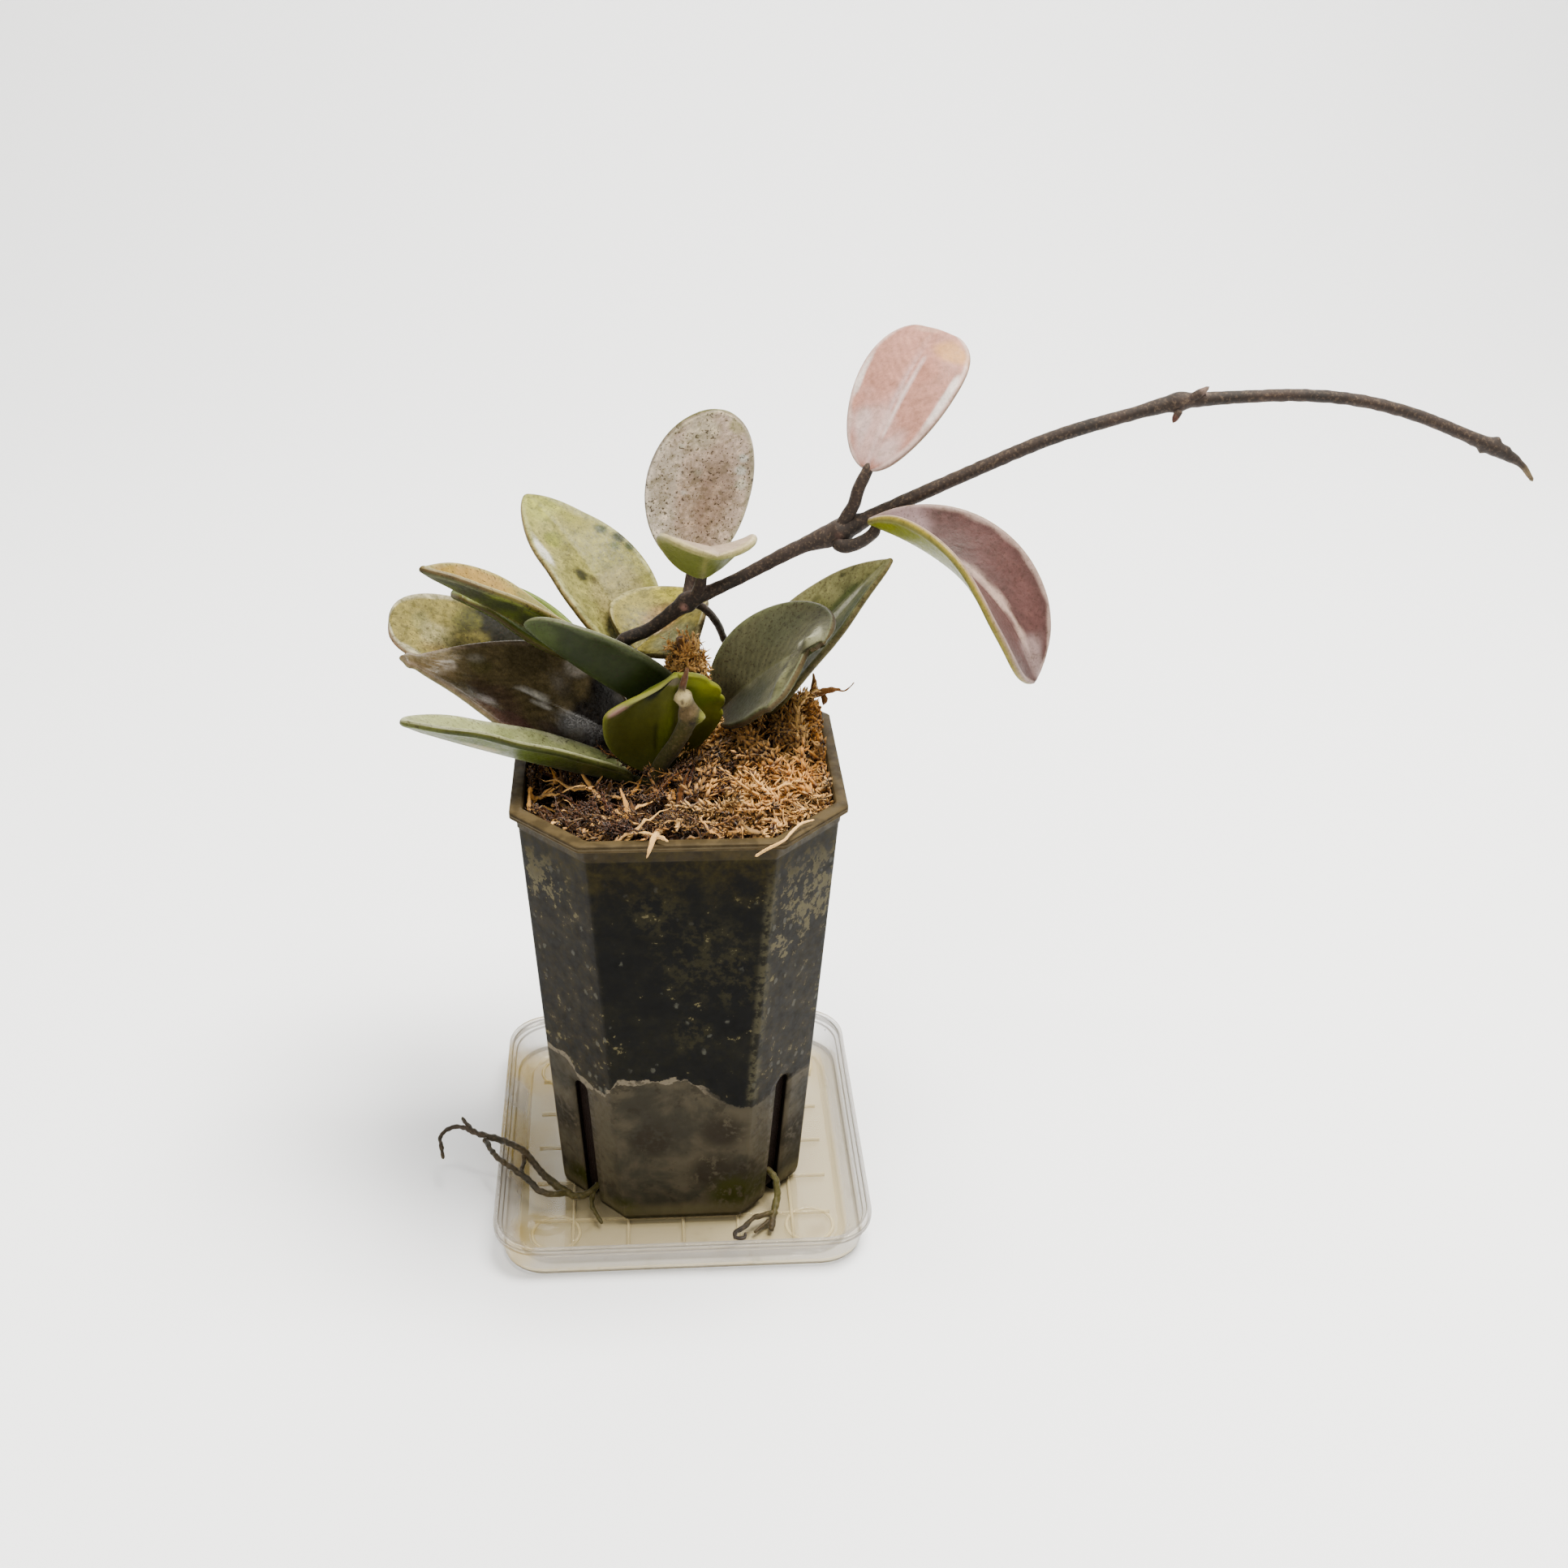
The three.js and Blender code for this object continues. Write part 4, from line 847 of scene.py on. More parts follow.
def clump_skin(number=230):
    """Moss wound round the vine's foot: a core along the clump's route, with shreds round and out of it."""
    random = np.random.default_rng(31)
    points, radius = smooth_route(CLUMP, 0.8)
    core = rings_along(points, radius * 0.86, 24)
    core = core + unit(core - points[:, None]) * (0.6 * ripples(core, 3.0, 6))[..., None]
    skin = Skin()
    skin.add(core, tone=0.3, warm=0.5, along=0)
    place = (random.uniform(0.12, 0.97, number) * (len(points) - 1)).astype(int)
    turn = random.uniform(0, 2 * np.pi, number)
    out = np.column_stack([np.cos(turn), np.sin(turn), np.zeros(number)])
    feet = points[place] + out * (radius[place] * 0.82)[:, None]
    swing = np.where(random.uniform(size=number) > 0.5, 1, -1)[:, None]
    climb = (0, 0, 1) * random.uniform(-0.9, 0.9, number)[:, None]
    heading = unit(np.cross((0, 0, 1), out) * swing + climb)
    length = random.uniform(5, 9, number)
    width = random.uniform(1.2, 2.2, number)
    along = unit(np.gradient(points, axis=0)[place])[:, None]
    thick = radius[place][:, None, None]

    def wrap(spine):
        """Holds a spine near the core: its distance from the route's nearest part stays about the same."""
        flow = spine - feet[:, None]
        centre = points[place][:, None] + (flow * along).sum(-1, keepdims=True) * along
        away = spine - centre
        far = np.linalg.norm(away, axis=-1, keepdims=True)
        return centre + away / far * (thick * 0.9 + 0.25 * np.maximum(far - thick, 0))

    grids = shred_grids(random, feet, heading, out, length, 0.7 * width, random.uniform(-0.4, 0.4, number),
                        random.uniform(0.0, 2.0, number), wrap, (11, 6, 0.35))
    tone = np.clip(random.normal(1.2, 0.15, number), 0, 1.3)
    warm = np.clip(random.normal(0.2, 0.2, number), 0, 1)
    add_shreds(skin, grids, tone, warm)
    slivers = leaflets(random, grids.mean(2), out, 1.2 * width, 0.5 * width, CLUMP_LEAFLETS)
    skin.add_slivers(slivers, np.repeat(tone, CLUMP_LEAFLETS), np.repeat(warm, CLUMP_LEAFLETS), 1.2)
    return skin


# Loose strands and a twig over the moss: x, y, z and the radius at each point
RIM_STRAND = [(31, -31.9, 126, 0.2), (28, -34, 126.4, 0.3), (25.5, -37.4, 126.4, 0.34),
              (23.1, -41.3, 126.2, 0.3), (20, -41.6, 124.6, 0.36), (16.7, -41, 122, 0.3)]
RIM_SHRED = [(-4, -30, 122.6, 0.5), (-5, -33, 124, 0.7), (-5.6, -36, 125.2, 0.75), (-6.4, -39, 126, 0.7),
             (-7.2, -41.4, 124.9, 0.5), (-8, -42.2, 122.8, 0.15)]
SHRED_CURLS = [[(-6.2, -38.2, 125.8, 0.4), (-4.4, -39.6, 126.6, 0.45), (-3, -40.4, 126, 0.2)],
               [(-6, -37, 125.6, 0.4), (-8.4, -37.6, 126.8, 0.4), (-9.8, -37, 126.4, 0.15)]]
TWIG = [(27.5, 24, 127.2, 0.9), (35.2, 24, 130, 1.1), (39.2, 24, 131.3, 0.9), (42.8, 24, 131.7, 0.35)]
TWIG_BITS = [[(38.3, 24, 130.6, 0.6), (38.6, 24, 128.8, 0.9), (38.3, 24, 127.1, 0.4)],
             [(34.6, 24, 129.6, 0.6), (35.8, 24, 133, 0.7), (35.4, 24, 136.5, 0.35)],
             [(41.6, 24, 131.6, 0.3), (43.6, 24, 131.2, 0.22), (45.2, 24, 132.4, 0.18),
             (46.2, 24.2, 133.6, 0.15)]]


def fibre_skin(number=60, rings=14):
    """Thin pale threads over the moss, on short wandering spines, and the strands over the rim."""
    random = np.random.default_rng(47)

    def draw(low, high):
        """One even random number for each thread."""
        return random.uniform(low, high, number)[:, None]

    spots = inside_pot(level_ring(random.uniform(-35, 35, (number, 2)), 0), 3)
    t = np.linspace(0, 1, rings)
    length = draw(4, 11)
    turn = draw(0, 2 * np.pi) + draw(-2.6, 2.6) * t
    turn = turn + 0.7 * np.sin(draw(4, 9) * t + draw(0, 6))
    x = spots[:, :1] + np.cumsum(np.cos(turn), 1) * length / rings
    y = spots[:, 1:2] + np.cumsum(np.sin(turn), 1) * length / rings
    spine = inside_pot(np.stack([x, y, 0 * x], -1), 2.4)
    spine[..., 2] = moss_height(spine[..., 0], spine[..., 1]) + 0.4 + draw(0.3, 2.2) * np.sin(np.pi * t)
    radius = draw(0.14, 0.3) * (1 - 0.6 * t)
    grids = carried(spine, (0, 0, 1), radius[..., None] * np.ones(5))
    skin = Skin()
    skin.add(grids, tone=draw(0.45, 1)[..., None], warm=0.2, along=0)
    for route in (RIM_STRAND, RIM_SHRED, *SHRED_CURLS):
        tone = 1 if route is RIM_STRAND else 0.75
        skin.add(bar(route, 0.35, 8, 0.14, 0.9, 3), tone=tone, warm=0, along=1)
    for route in (TWIG, *TWIG_BITS):
        skin.add(bar(route, 0.4, 8, 0.25, 1.6, 8), tone=0.35, warm=0.8, along=0)
    return skin


def moss_finish(name, depth_shade, sheen):
    """Dried moss: tan to brown by shred, darker at the shred's root and in a fine fibre grain."""
    finish = Finish(name, Roughness=0.9, Sheen_Weight=sheen, Specular_IOR_Level=0.1)
    tone, warm, along = (finish.stored(key) for key in ("tone", "warm", "along"))
    grain = finish.noise(0.9, 3, 0.6)
    pale = finish.mix(rgba("dcb88a", MOSS_DEPTH), rgba("c48e5c", MOSS_DEPTH), warm)
    shade = finish.mix("4c3423", "522c17", warm).toward(pale, tone.band(0.04, 1.0))
    # Painted shade at the root of each shred, where it sinks into the moss.
    shade = shade.toward("3a1f10", along.band(0.3, 0.0, 0, 0.4))
    shade = shade.toward("5a3c24", grain.band(0.35, 0.6, 0.2, 0))
    *_, z = finish.axes()
    # Painted shade by the depth shade given: darker all over, most below 60 mm, where the slots show it.
    shade = shade.toward("150d07", z.band(0.09, 0.06, 1, 1.75) * depth_shade)
    waves = {"Vector": finish.spot, "Scale": 900, "Distortion": 6, "Detail": 2}
    fine = finish.node("TexWave", "Fac", waves)
    finish.set(Base_Color=shade, Normal=finish.bump(fine, 0.5, 0.25, finish.bump(grain, 0.5, 0.3)))
    return finish.material


def build_moss(sizes):
    """Bed, layers of shreds, the clump round the vine's foot, and loose fibres."""
    bed = Skin()
    # The body's low tone and its material's depth shade are painted shade between the shreds and deep in
    # the pot.
    bed.add(moss_bed(), tone=0.12, warm=0.5, along=0.2)
    bed.piece("moss_body", moss_finish("dark moss", 0.55, 0), "moss", "moss")
    finish = moss_finish("dry moss", 0.0, 0.12)
    for name, seed, share, kind, sink, dark in MOSS_LAYERS:
        skin = bed_shreds(sizes, seed, int(share * sizes.shreds), kind, sink, dark)
        skin.piece(name, finish, slot="moss")
    clump_skin().piece("moss_clump", finish, slot="moss")
    fibre_skin().piece("moss_fibres", finish, slot="moss")


# Leaves

Leaf = namedtuple("Leaf", "base length width turn arch power sickle twist fold curl outline")
Leaf.__doc__ = """Measured form of one blade.

turn is the heading, pitch and roll of the midrib's start; arch, sickle and twist are how far, in degrees,
the midrib arches down, swings left and twists by the tip, arch by that power of the way along; fold is that
of each half at base and tip, curl the halves' own, and outline the two powers of the outline, towards base
and tip.
"""

LEAVES = {
    "left_grey": Leaf((-10.3, 29.3, 141.9), 50.2, 29.2, (135.6, 55.4, -3.0), 32.7, 0.94, 2.0, -3.1,
                      (10.2, -3.9), 22.0, (0.39, 0.72)),
    "behind_vine": Leaf((-10.2, 19.3, 145.0), 23.4, 31.2, (44.9, 17.2, 14.7), -39.8, 1.16, -40.5, -18.0,
                        (32.8, -0.9), -10.9, (0.35, 0.59)),
    "left_brown": Leaf((-21.2, 13.1, 147.0), 49.9, 23.4, (189.5, 35.5, 19.3), 2.5, 0.96, 16.2, -19.3,
                       (36.9, 49.4), -24.0, (0.57, 0.86)),
    "left_narrow": Leaf((-20.5, 16.8, 143.9), 38.6, 18.5, (163.6, 24.5, -17.8), -7.2, 0.99, 12.1, 15.8,
                        (19.1, 37.8), 5.6, (0.69, 0.56)),
    "left_silver": Leaf((-20.0, 27.4, 132.4), 55.0, 25.0, (178.7, 21.4, -30.1), -8.5, 1.01, 10.5, 4.5,
                        (9.8, 3.7), 2.5, (0.51, 0.36)),
    "left_dark": Leaf((-10.7, 8.5, 125.4), 61.9, 30.7, (159.8, 20.7, -42.1), -27.2, 0.82, 22.8, 33.5,
                      (13.8, -3.6), 20.8, (0.75, 1.22)),
    "over_dark": Leaf((0.7, 2.0, 136.3), 46.0, 23.8, (208.7, 24.8, 34.6), -33.9, 0.6, -14.9, -4.9,
                      (49.6, 33.0), -6.4, (0.39, 0.49)),
    "front_left": Leaf((-11.1, -2.1, 121.0), 62.1, 21.6, (196.5, 18.4, 7.8), -11.2, 0.6, 10.0, 7.0,
                       (38.0, 17.9), 1.2, (0.48, 0.55)),
    "front": Leaf((-4.4, 0.9, 121.3), 35.5, 30.6, (-86.6, 72.6, 14.6), 12.4, 1.48, 9.6, -11.3, (9.9, 18.1),
                  -19.0, (0.62, 0.54)),
    "right_broad": Leaf((10.8, 16.2, 128.6), 43.2, 34.0, (-22.4, 53.6, 46.1), -3.4, 0.99, -28.4, -33.4,
                        (28.0, -7.9), 10.0, (0.56, 0.45)),
    "right_pointed": Leaf((19.1, 22.4, 124.7), 56.5, 26.3, (-4.6, 61.0, 22.8), 18.5, 1.03, -3.9, -0.6,
                          (15.4, 13.3), 3.4, (0.51, 0.85)),
    "first_node_back": Leaf((4.3, 17.6, 168.9), 42.1, 26.4, (83.4, 78.8, 17.3), -38.1, 1.05, -8.4, 5.5,
                            (3.8, 5.6), -8.7, (0.5, 0.51)),
    "first_node_front": Leaf((6.3, 9.8, 169.3), 28.2, 24.9, (-83.8, 59.2, -1.2), 58.9, 1.19, 2.6, -3.5,
                             (34.0, 4.3), 2.3, (0.35, 0.51)),
    "second_node_back": Leaf((44.9, 8.5, 196.3), 39.6, 26.0, (47.8, 61.6, 2.3), 37.1, 1.11, 0.1, 5.5,
                             (-1.3, -2.2), -7.0, (0.51, 0.3)),
    "second_node_front": Leaf((45.1, 5.3, 185.6), 57.4, 30.8, (-31.1, -10.2, -4.3), 60.6, 1.39, 0.9, 14.1,
                              (51.6, 4.8), 15.7, (0.78, 0.71)),
}


class Look:
    """Colours of one blade, and its marks: u, v, side, reach along u, reach along v, colour, strength.

    u runs from base to tip, v from -1 at the right margin to 1 at the left, and side is 1 above, -1 below.
    A notch is u, the margin it is in (0 for both), its reach along u and its depth as a share of the width.
    A bend is u, v, its reach along each and its height in millimetres.
    """

    def __init__(self, upper, under, margin, slot, specks, silver, gloss=0.42, upper_left=None,
                 under_left=None, rim="5a4436", midrib=None, veins=0.0, grain=0.5, depth=DEPTH, marks=(),
                 bends=(), notches=()):
        self.upper, self.upper_left = pigment(upper, depth), pigment(upper_left or upper, depth)
        self.under, self.under_left = pigment(under, depth), pigment(under_left or under, depth)
        self.margin, self.rim = pigment(margin, depth), pigment(rim, depth)
        self.midrib = pigment(midrib or upper, depth)
        self.slot, self.specks, self.silver, self.gloss, self.veins = slot, specks, silver, gloss, veins
        self.grain, self.depth = grain, depth
        self.marks, self.bends, self.notches = marks, bends, notches


LOOKS = {
    "left_grey": Look(
        "938f60", "737d4a", "b8b68c", "silver_leaf", 0.6, 0.2, grain=0.8, rim="8a7058", midrib="a5a176",
        upper_left="9a966a", veins=0.12,
        marks=((0.43, 0.29, 1, 0.04, 0.15, "34341c", 1.0), (0.39, 0.1, 1, 0.035, 0.11, "4c462c", 0.8),
               (0.62, -0.78, 1, 0.035, 0.12, "3a4424", 0.95), (0.53, -0.9, 1, 0.03, 0.1, "2c341a", 0.95),
               (0.46, -0.92, 1, 0.03, 0.1, "36401f", 0.95), (0.5, -0.72, 1, 0.03, 0.1, "4f5a34", 0.8),
               (0.67, 0.38, 1, 0.06, 0.25, "858a40", 0.65), (0.61, 0.22, 1, 0.03, 0.2, "6a683a", 0.7),
               # The near-white mark at u 0.62, v 0.84 is a painted highlight along the left margin.
               (0.88, 0, 1, 0.12, 0.9, "b2b672", 0.55), (0.62, 0.84, 1, 0.12, 0.12, "f0eee4", 0.95),
               (0.3, -0.2, 1, 0.12, 0.6, "a0957a", 0.5), (0.2, 0.3, 1, 0.08, 0.4, "84795c", 0.5)),
        bends=((0.5, 0.9, 0.1, 0.3, 0.5), (0.75, -0.8, 0.08, 0.3, -0.5), (0.3, -0.8, 0.1, 0.3, 0.6))),
    "behind_vine": Look(
        "8c8356", "6c6a4c", "ada684", "brown_leaf", 0.6, 0.4, grain=1.1, upper_left="928a5c",
        under_left="8a8a50",
        marks=((0.4, -0.5, 1, 0.4, 0.4, "878870", 0.7), (0.5, 0.2, 1, 0.3, 0.3, "9a7a62", 0.6),
               # The pale mark at u 0.35, v 0.1 is a painted highlight near the vine.
               (0.75, 0.75, 1, 0.2, 0.3, "a8a060", 0.6), (0.35, 0.1, 1, 0.08, 0.15, "d0c4b4", 0.5))),
    "left_brown": Look(
        "b09c68", "5c6428", "b3b08c", "brown_leaf", 1.0, 0.2, under_left="33380e", grain=0.4,
        marks=((0.7, -0.6, 1, 0.2, 0.5, "b8996f", 0.6), (0.3, -0.5, 1, 0.15, 0.5, "7f8258", 0.7),
               (0.6, -0.95, 1, 0.3, 0.1, "c4b884", 0.7), (0.4, 0.9, -1, 0.3, 0.3, "97a05a", 0.5))),
    "left_narrow": Look(
        "6e7a48", "3a421f", "8d9c62", "green_leaf", 0.3, 0.1, grain=0.2,
        marks=((0.95, 0, 1, 0.08, 1.2, "2c3018", 0.8), (0.95, 0, -1, 0.08, 1.2, "2c3018", 0.8)),
        notches=((0.95, 0, 0.04, -0.4),)),
    "left_silver": Look(
        "8b835c", "6e7448", "cfcab4", "silver_leaf", 0.7, 0.5, 0.7, grain=1.0, rim="94705e", veins=0.12,
        # The three near-black marks on the base half are painted shadow cast by the leaves above.
        marks=((0.45, -0.75, 1, 0.24, 0.7, "17170a", 1.0), (0.36, -0.2, 1, 0.24, 0.8, "1c1b0c", 1.0),
               (0.35, 0.6, 1, 0.24, 0.9, "2a2816", 0.95), (0.86, -0.1, 1, 0.05, 0.3, "807e60", 0.6),
               (0.78, 0.1, 1, 0.1, 0.35, "bcb595", 0.6), (0.7, 0.55, 1, 0.12, 0.3, "937e5e", 0.6),
               (0.66, -0.5, 1, 0.07, 0.3, "62613f", 0.7), (0.72, 0.2, 1, 0.03, 0.4, "8b8660", 0.5))),
    "left_dark": Look(
        "6e6450", "5a6a38", "8a7d70", "dark_leaf", 0.3, 0.1, 0.26, grain=0.6, rim="9a8a70", veins=0.25,
        # The near-black mark at the base is painted shadow cast by the leaves over it, and the near-white
        # streaks are painted glints.
        marks=((0.12, 0, 1, 0.22, 1.4, "0f0b08", 1.0), (0.33, -0.72, 1, 0.05, 0.2, "dcd4cc", 0.9),
               (0.36, -0.45, 1, 0.06, 0.25, "625a50", 0.6), (0.7, -0.5, 1, 0.04, 0.16, "aca69c", 0.7),
               (0.68, -0.3, 1, 0.06, 0.2, "6a664a", 0.5), (0.8, -0.05, 1, 0.035, 0.25, "c4bcb4", 0.7),
               (0.46, -0.02, 1, 0.07, 0.06, "f4f0ec", 1.0), (0.41, 0.12, 1, 0.05, 0.05, "e0dcd8", 0.95),
               (0.63, 0.55, 1, 0.045, 0.14, "e0d8d4", 0.9), (0.5, 0.78, 1, 0.16, 0.2, "624848", 0.7),
               (0.6, 0.3, 1, 0.12, 0.3, "523e3e", 0.5), (0.86, 0.3, 1, 0.1, 0.7, "74644c", 0.6),
               (0.5, -0.6, 1, 0.1, 0.3, "423c2e", 0.5), (0.36, 0.5, 1, 0.06, 0.14, "4e4240", 0.6)),
        bends=((0.66, 0.3, 0.05, 0.3, -0.8), (0.5, 0.1, 0.06, 0.25, 0.9), (0.34, -0.5, 0.06, 0.3, 1.0),
               (0.78, -0.2, 0.05, 0.4, 0.8), (0.6, 0.75, 0.07, 0.2, 0.7), (0.9, 0.6, 0.06, 0.4, -0.6)),
        notches=((0.975, 0, 0.025, -1.8),)),
    "over_dark": Look(
        "5e6844", "2c3420", "959c80", "green_leaf", 0.5, 0.4, grain=0.3, under_left="303820", rim="6f705c",
        marks=((0.45, -0.5, 1, 0.08, 0.5, "4c5a40", 0.6), (0.7, -0.6, 1, 0.05, 0.4, "55624a", 0.6),
               (0.25, -0.5, 1, 0.06, 0.5, "4c5a40", 0.5), (0.9, 0.3, -1, 0.12, 0.6, "5f6a48", 0.6),
               (0.2, 0.3, -1, 0.15, 0.6, "30382c", 0.6))),
    "front_left": Look(
        "aaae88", "646e38", "c0c2a6", "silver_leaf", 0.7, 0.7, grain=0.35, rim="4c4a2c",
        under_left="5f6a34",
        marks=((0.68, 0.25, -1, 0.09, 0.18, "b4aa7c", 0.7), (0.5, 0.97, -1, 0.5, 0.12, "2c361a", 0.8),
               (0.3, 0.5, -1, 0.15, 0.5, "48521f", 0.6), (0.3, -0.9, 1, 0.05, 0.2, "d0d0b8", 0.6),
               (0.12, -0.5, 1, 0.08, 0.7, "7c8460", 0.7), (0.55, -0.5, 1, 0.05, 0.3, "8c9468", 0.5))),
    "front": Look(
        "66703c", "686a42", "84884a", "green_leaf", 0.1, 0.0, 0.5, grain=0.15, under_left="6b6e3c",
        rim="9a9c60",
        marks=((0.5, -0.5, -1, 0.3, 0.45, "54552f", 0.75), (0.75, 0.6, -1, 0.2, 0.35, "6c7830", 0.8),
               (0.4, 0.03, -1, 0.2, 0.18, "62682c", 0.75), (0.36, -0.13, -1, 0.2, 0.05, "2a2c10", 0.7),
               (0.85, 0.8, -1, 0.12, 0.3, "9aa048", 0.8), (0.92, 0.5, -1, 0.05, 0.5, "9aa25e", 0.7),
               (0.66, -0.98, -1, 0.07, 0.25, "b89a90", 0.95), (0.82, -0.98, -1, 0.12, 0.3, "a8a87c", 0.9),
               # The near-black mark at u 0.8, v -0.5 is painted shadow under the rolled margin.
               (0.8, -0.5, -1, 0.1, 0.16, "17190a", 0.9), (0.95, -0.3, -1, 0.05, 0.5, "8c8476", 0.8),
               (0.4, 0.06, -1, 0.25, 0.03, "8c944e", 0.7), (0.55, 0.45, -1, 0.15, 0.03, "7c8444", 0.6),
               (0.3, 0.7, -1, 0.15, 0.3, "44481c", 0.6)),
        bends=((0.45, 0.06, 0.25, 0.1, -0.9), (0.75, -0.95, 0.25, 0.28, -2.2),
               (0.75, -0.55, 0.2, 0.14, 1.0), (0.55, 0.5, 0.2, 0.12, -0.6), (0.85, 0.7, 0.05, 0.3, -0.6),
               (0.6, 0.95, 0.06, 0.3, 0.7)),
        notches=((0.95, -1, 0.22, 0.68), (0.6, -1, 0.08, -0.06), (0.72, 1, 0.03, 0.06),
                 (0.55, 1, 0.03, 0.06), (0.88, 1, 0.03, 0.06))),
    "right_broad": Look(
        "5f5e4c", "4e5238", "71745c", "dark_leaf", 0.8, 0.25, 0.5, grain=0.35, upper_left="646350",
        veins=0.2, midrib="63634e",
        # The pale marks at the tip and on the fold are painted highlights, and the near-black marks at u
        # 0.72 and 0.8 painted shadow of the notch's lobe.
        marks=((0.93, 0, 1, 0.06, 0.4, "a6a68e", 0.8), (0.75, -0.5, 1, 0.03, 0.4, "7c7c62", 0.6),
               (0.69, -0.1, 1, 0.05, 0.12, "8c8c70", 0.7), (0.72, -0.28, 1, 0.03, 0.12, "2a2a18", 0.85),
               (0.81, 0.1, 1, 0.04, 0.08, "d0d0bc", 0.9), (0.9, 0.3, 1, 0.04, 0.2, "c4c4b0", 0.8),
               (0.18, -0.3, 1, 0.15, 0.7, "3a3626", 0.7), (0.32, -0.6, 1, 0.34, 0.5, "2a2e14", 0.95),
               (0.5, 0, 1, 0.3, 0.05, "66664e", 0.6), (0.6, 0.6, 1, 0.15, 0.3, "5f6250", 0.5),
               (0.8, -0.6, 1, 0.03, 0.1, "2c2e22", 0.6)),
        bends=((0.73, -0.6, 0.05, 0.3, 1.2), (0.86, 0.05, 0.06, 0.12, 1.2), (0.93, 0.1, 0.06, 0.4, 0.6)),
        notches=((0.86, -1, 0.045, 0.93), (0.91, -1, 0.045, 0.8), (0.97, -1, 0.05, 0.9),
                 (0.7, -1, 0.05, -0.1))),
    "right_pointed": Look(
        "767a5a", "6a7048", "a4a080", "green_leaf", 0.6, 0.3, grain=0.6, upper_left="adaa84", rim="6c5a44",
        marks=((0.72, -0.3, 1, 0.16, 0.12, "d4d4c4", 0.9), (0.75, 0.05, 1, 0.14, 0.12, "56603f", 0.7),
               (0.6, 0.3, 1, 0.06, 0.3, "767850", 0.6), (0.72, -0.78, 1, 0.2, 0.2, "525c3a", 0.7),
               (0.78, 0.75, 1, 0.03, 0.08, "44442c", 0.75), (0.62, 0.6, 1, 0.03, 0.1, "56563a", 0.6),
               (0.9, 0, 1, 0.08, 0.8, "a4a078", 0.5), (0.85, -0.1, 1, 0.02, 0.1, "3c4628", 0.75))),
    "first_node_back": Look(
        "dccabc", "8a9060", "bdb6a0", "silver_leaf", 1.0, 0.8, grain=0.85, depth=0.58, rim="4a3a34",
        veins=0.1,
        # The near-white marks are painted highlights along the margins and on the face.
        marks=((0.45, -0.3, 1, 0.4, 0.35, "b49e90", 0.6), (0.4, 0.8, 1, 0.4, 0.45, "fcf0e4", 0.95),
               (0.69, -0.76, 1, 0.03, 0.1, "fcf8f0", 1.0), (0.61, -0.72, 1, 0.04, 0.13, "f6f2e8", 1.0),
               (0.52, -0.76, 1, 0.04, 0.11, "ece8d8", 0.8), (0.9, -0.7, 1, 0.06, 0.25, "b4b088", 0.6),
               (0.85, 0.3, 1, 0.12, 0.5, "c8c2ac", 0.6), (0.6, 0.72, 1, 0.25, 0.25, "d4c8b8", 0.6),
               (0.58, 0.1, 1, 0.02, 0.1, "e4dccc", 0.7), (0.45, 0.3, 1, 0.025, 0.08, "f8f0e8", 0.95),
               (0.75, 0.6, 1, 0.02, 0.06, "e8e4d4", 0.8))),
    "first_node_front": Look(
        "b8a898", "787d50", "c4b896", "green_leaf", 0.3, 0.5, grain=0.3, depth=0.5, rim="a8a078",
        marks=((0.35, 0.6, 1, 0.2, 0.4, "e4d8cc", 0.7), (0.4, 0.8, -1, 0.3, 0.3, "6c7040", 0.6),
               (0.5, 0.02, -1, 0.5, 0.04, "9c9a6c", 0.7))),
    "second_node_back": Look(
        "b48c82", "98985e", "dcc8c2", "pink_leaf", 0.15, 0.25, grain=0.35, depth=0.52, midrib="d8c4c4",
        rim="7a6048", veins=0.12,
        marks=((0.35, -0.12, 1, 0.27, 0.05, "ecdedc", 0.8), (0.66, -0.13, 1, 0.12, 0.035, "e4d0ce", 0.7),
               # The near-white streaks at v -0.88 and 0.88 are painted highlights along both margins.
               (0.22, 0.3, 1, 0.22, 0.6, "dcc4c0", 0.6), (0.55, -0.88, 1, 0.2, 0.08, "f4ece8", 0.9),
               (0.58, 0.88, 1, 0.15, 0.07, "f0e6e2", 0.8), (0.85, -0.6, 1, 0.09, 0.4, "d0a47a", 0.8),
               (0.15, -0.4, 1, 0.12, 0.4, "e6d4d2", 0.6), (0.25, 0.5, 1, 0.12, 0.2, "dac8c6", 0.6),
               (0.7, -0.35, 1, 0.12, 0.2, "a07468", 0.5), (0.97, 0.3, 1, 0.03, 0.5, "c0a89a", 0.5))),
    "second_node_front": Look(
        "5c4644", "868b46", "c8b2aa", "pink_leaf", 0.4, 0.1, grain=0.35, rim="a8965c", veins=0.12,
        marks=((0.65, 0.12, 1, 0.25, 0.08, "d8c0b6", 0.85), (0.12, 0.4, 1, 0.12, 0.8, "b8a2a4", 0.6),
               (0.9, 0.3, 1, 0.08, 0.5, "bca8a6", 0.6), (0.5, 0.6, 1, 0.15, 0.3, "6a4e4c", 0.5),
               (0.72, 0.55, 1, 0.1, 0.3, "6c504e", 0.5))),
}

BLADE_ROWS, BLADE_SIDES = 132, 96
CREASE = 1.3


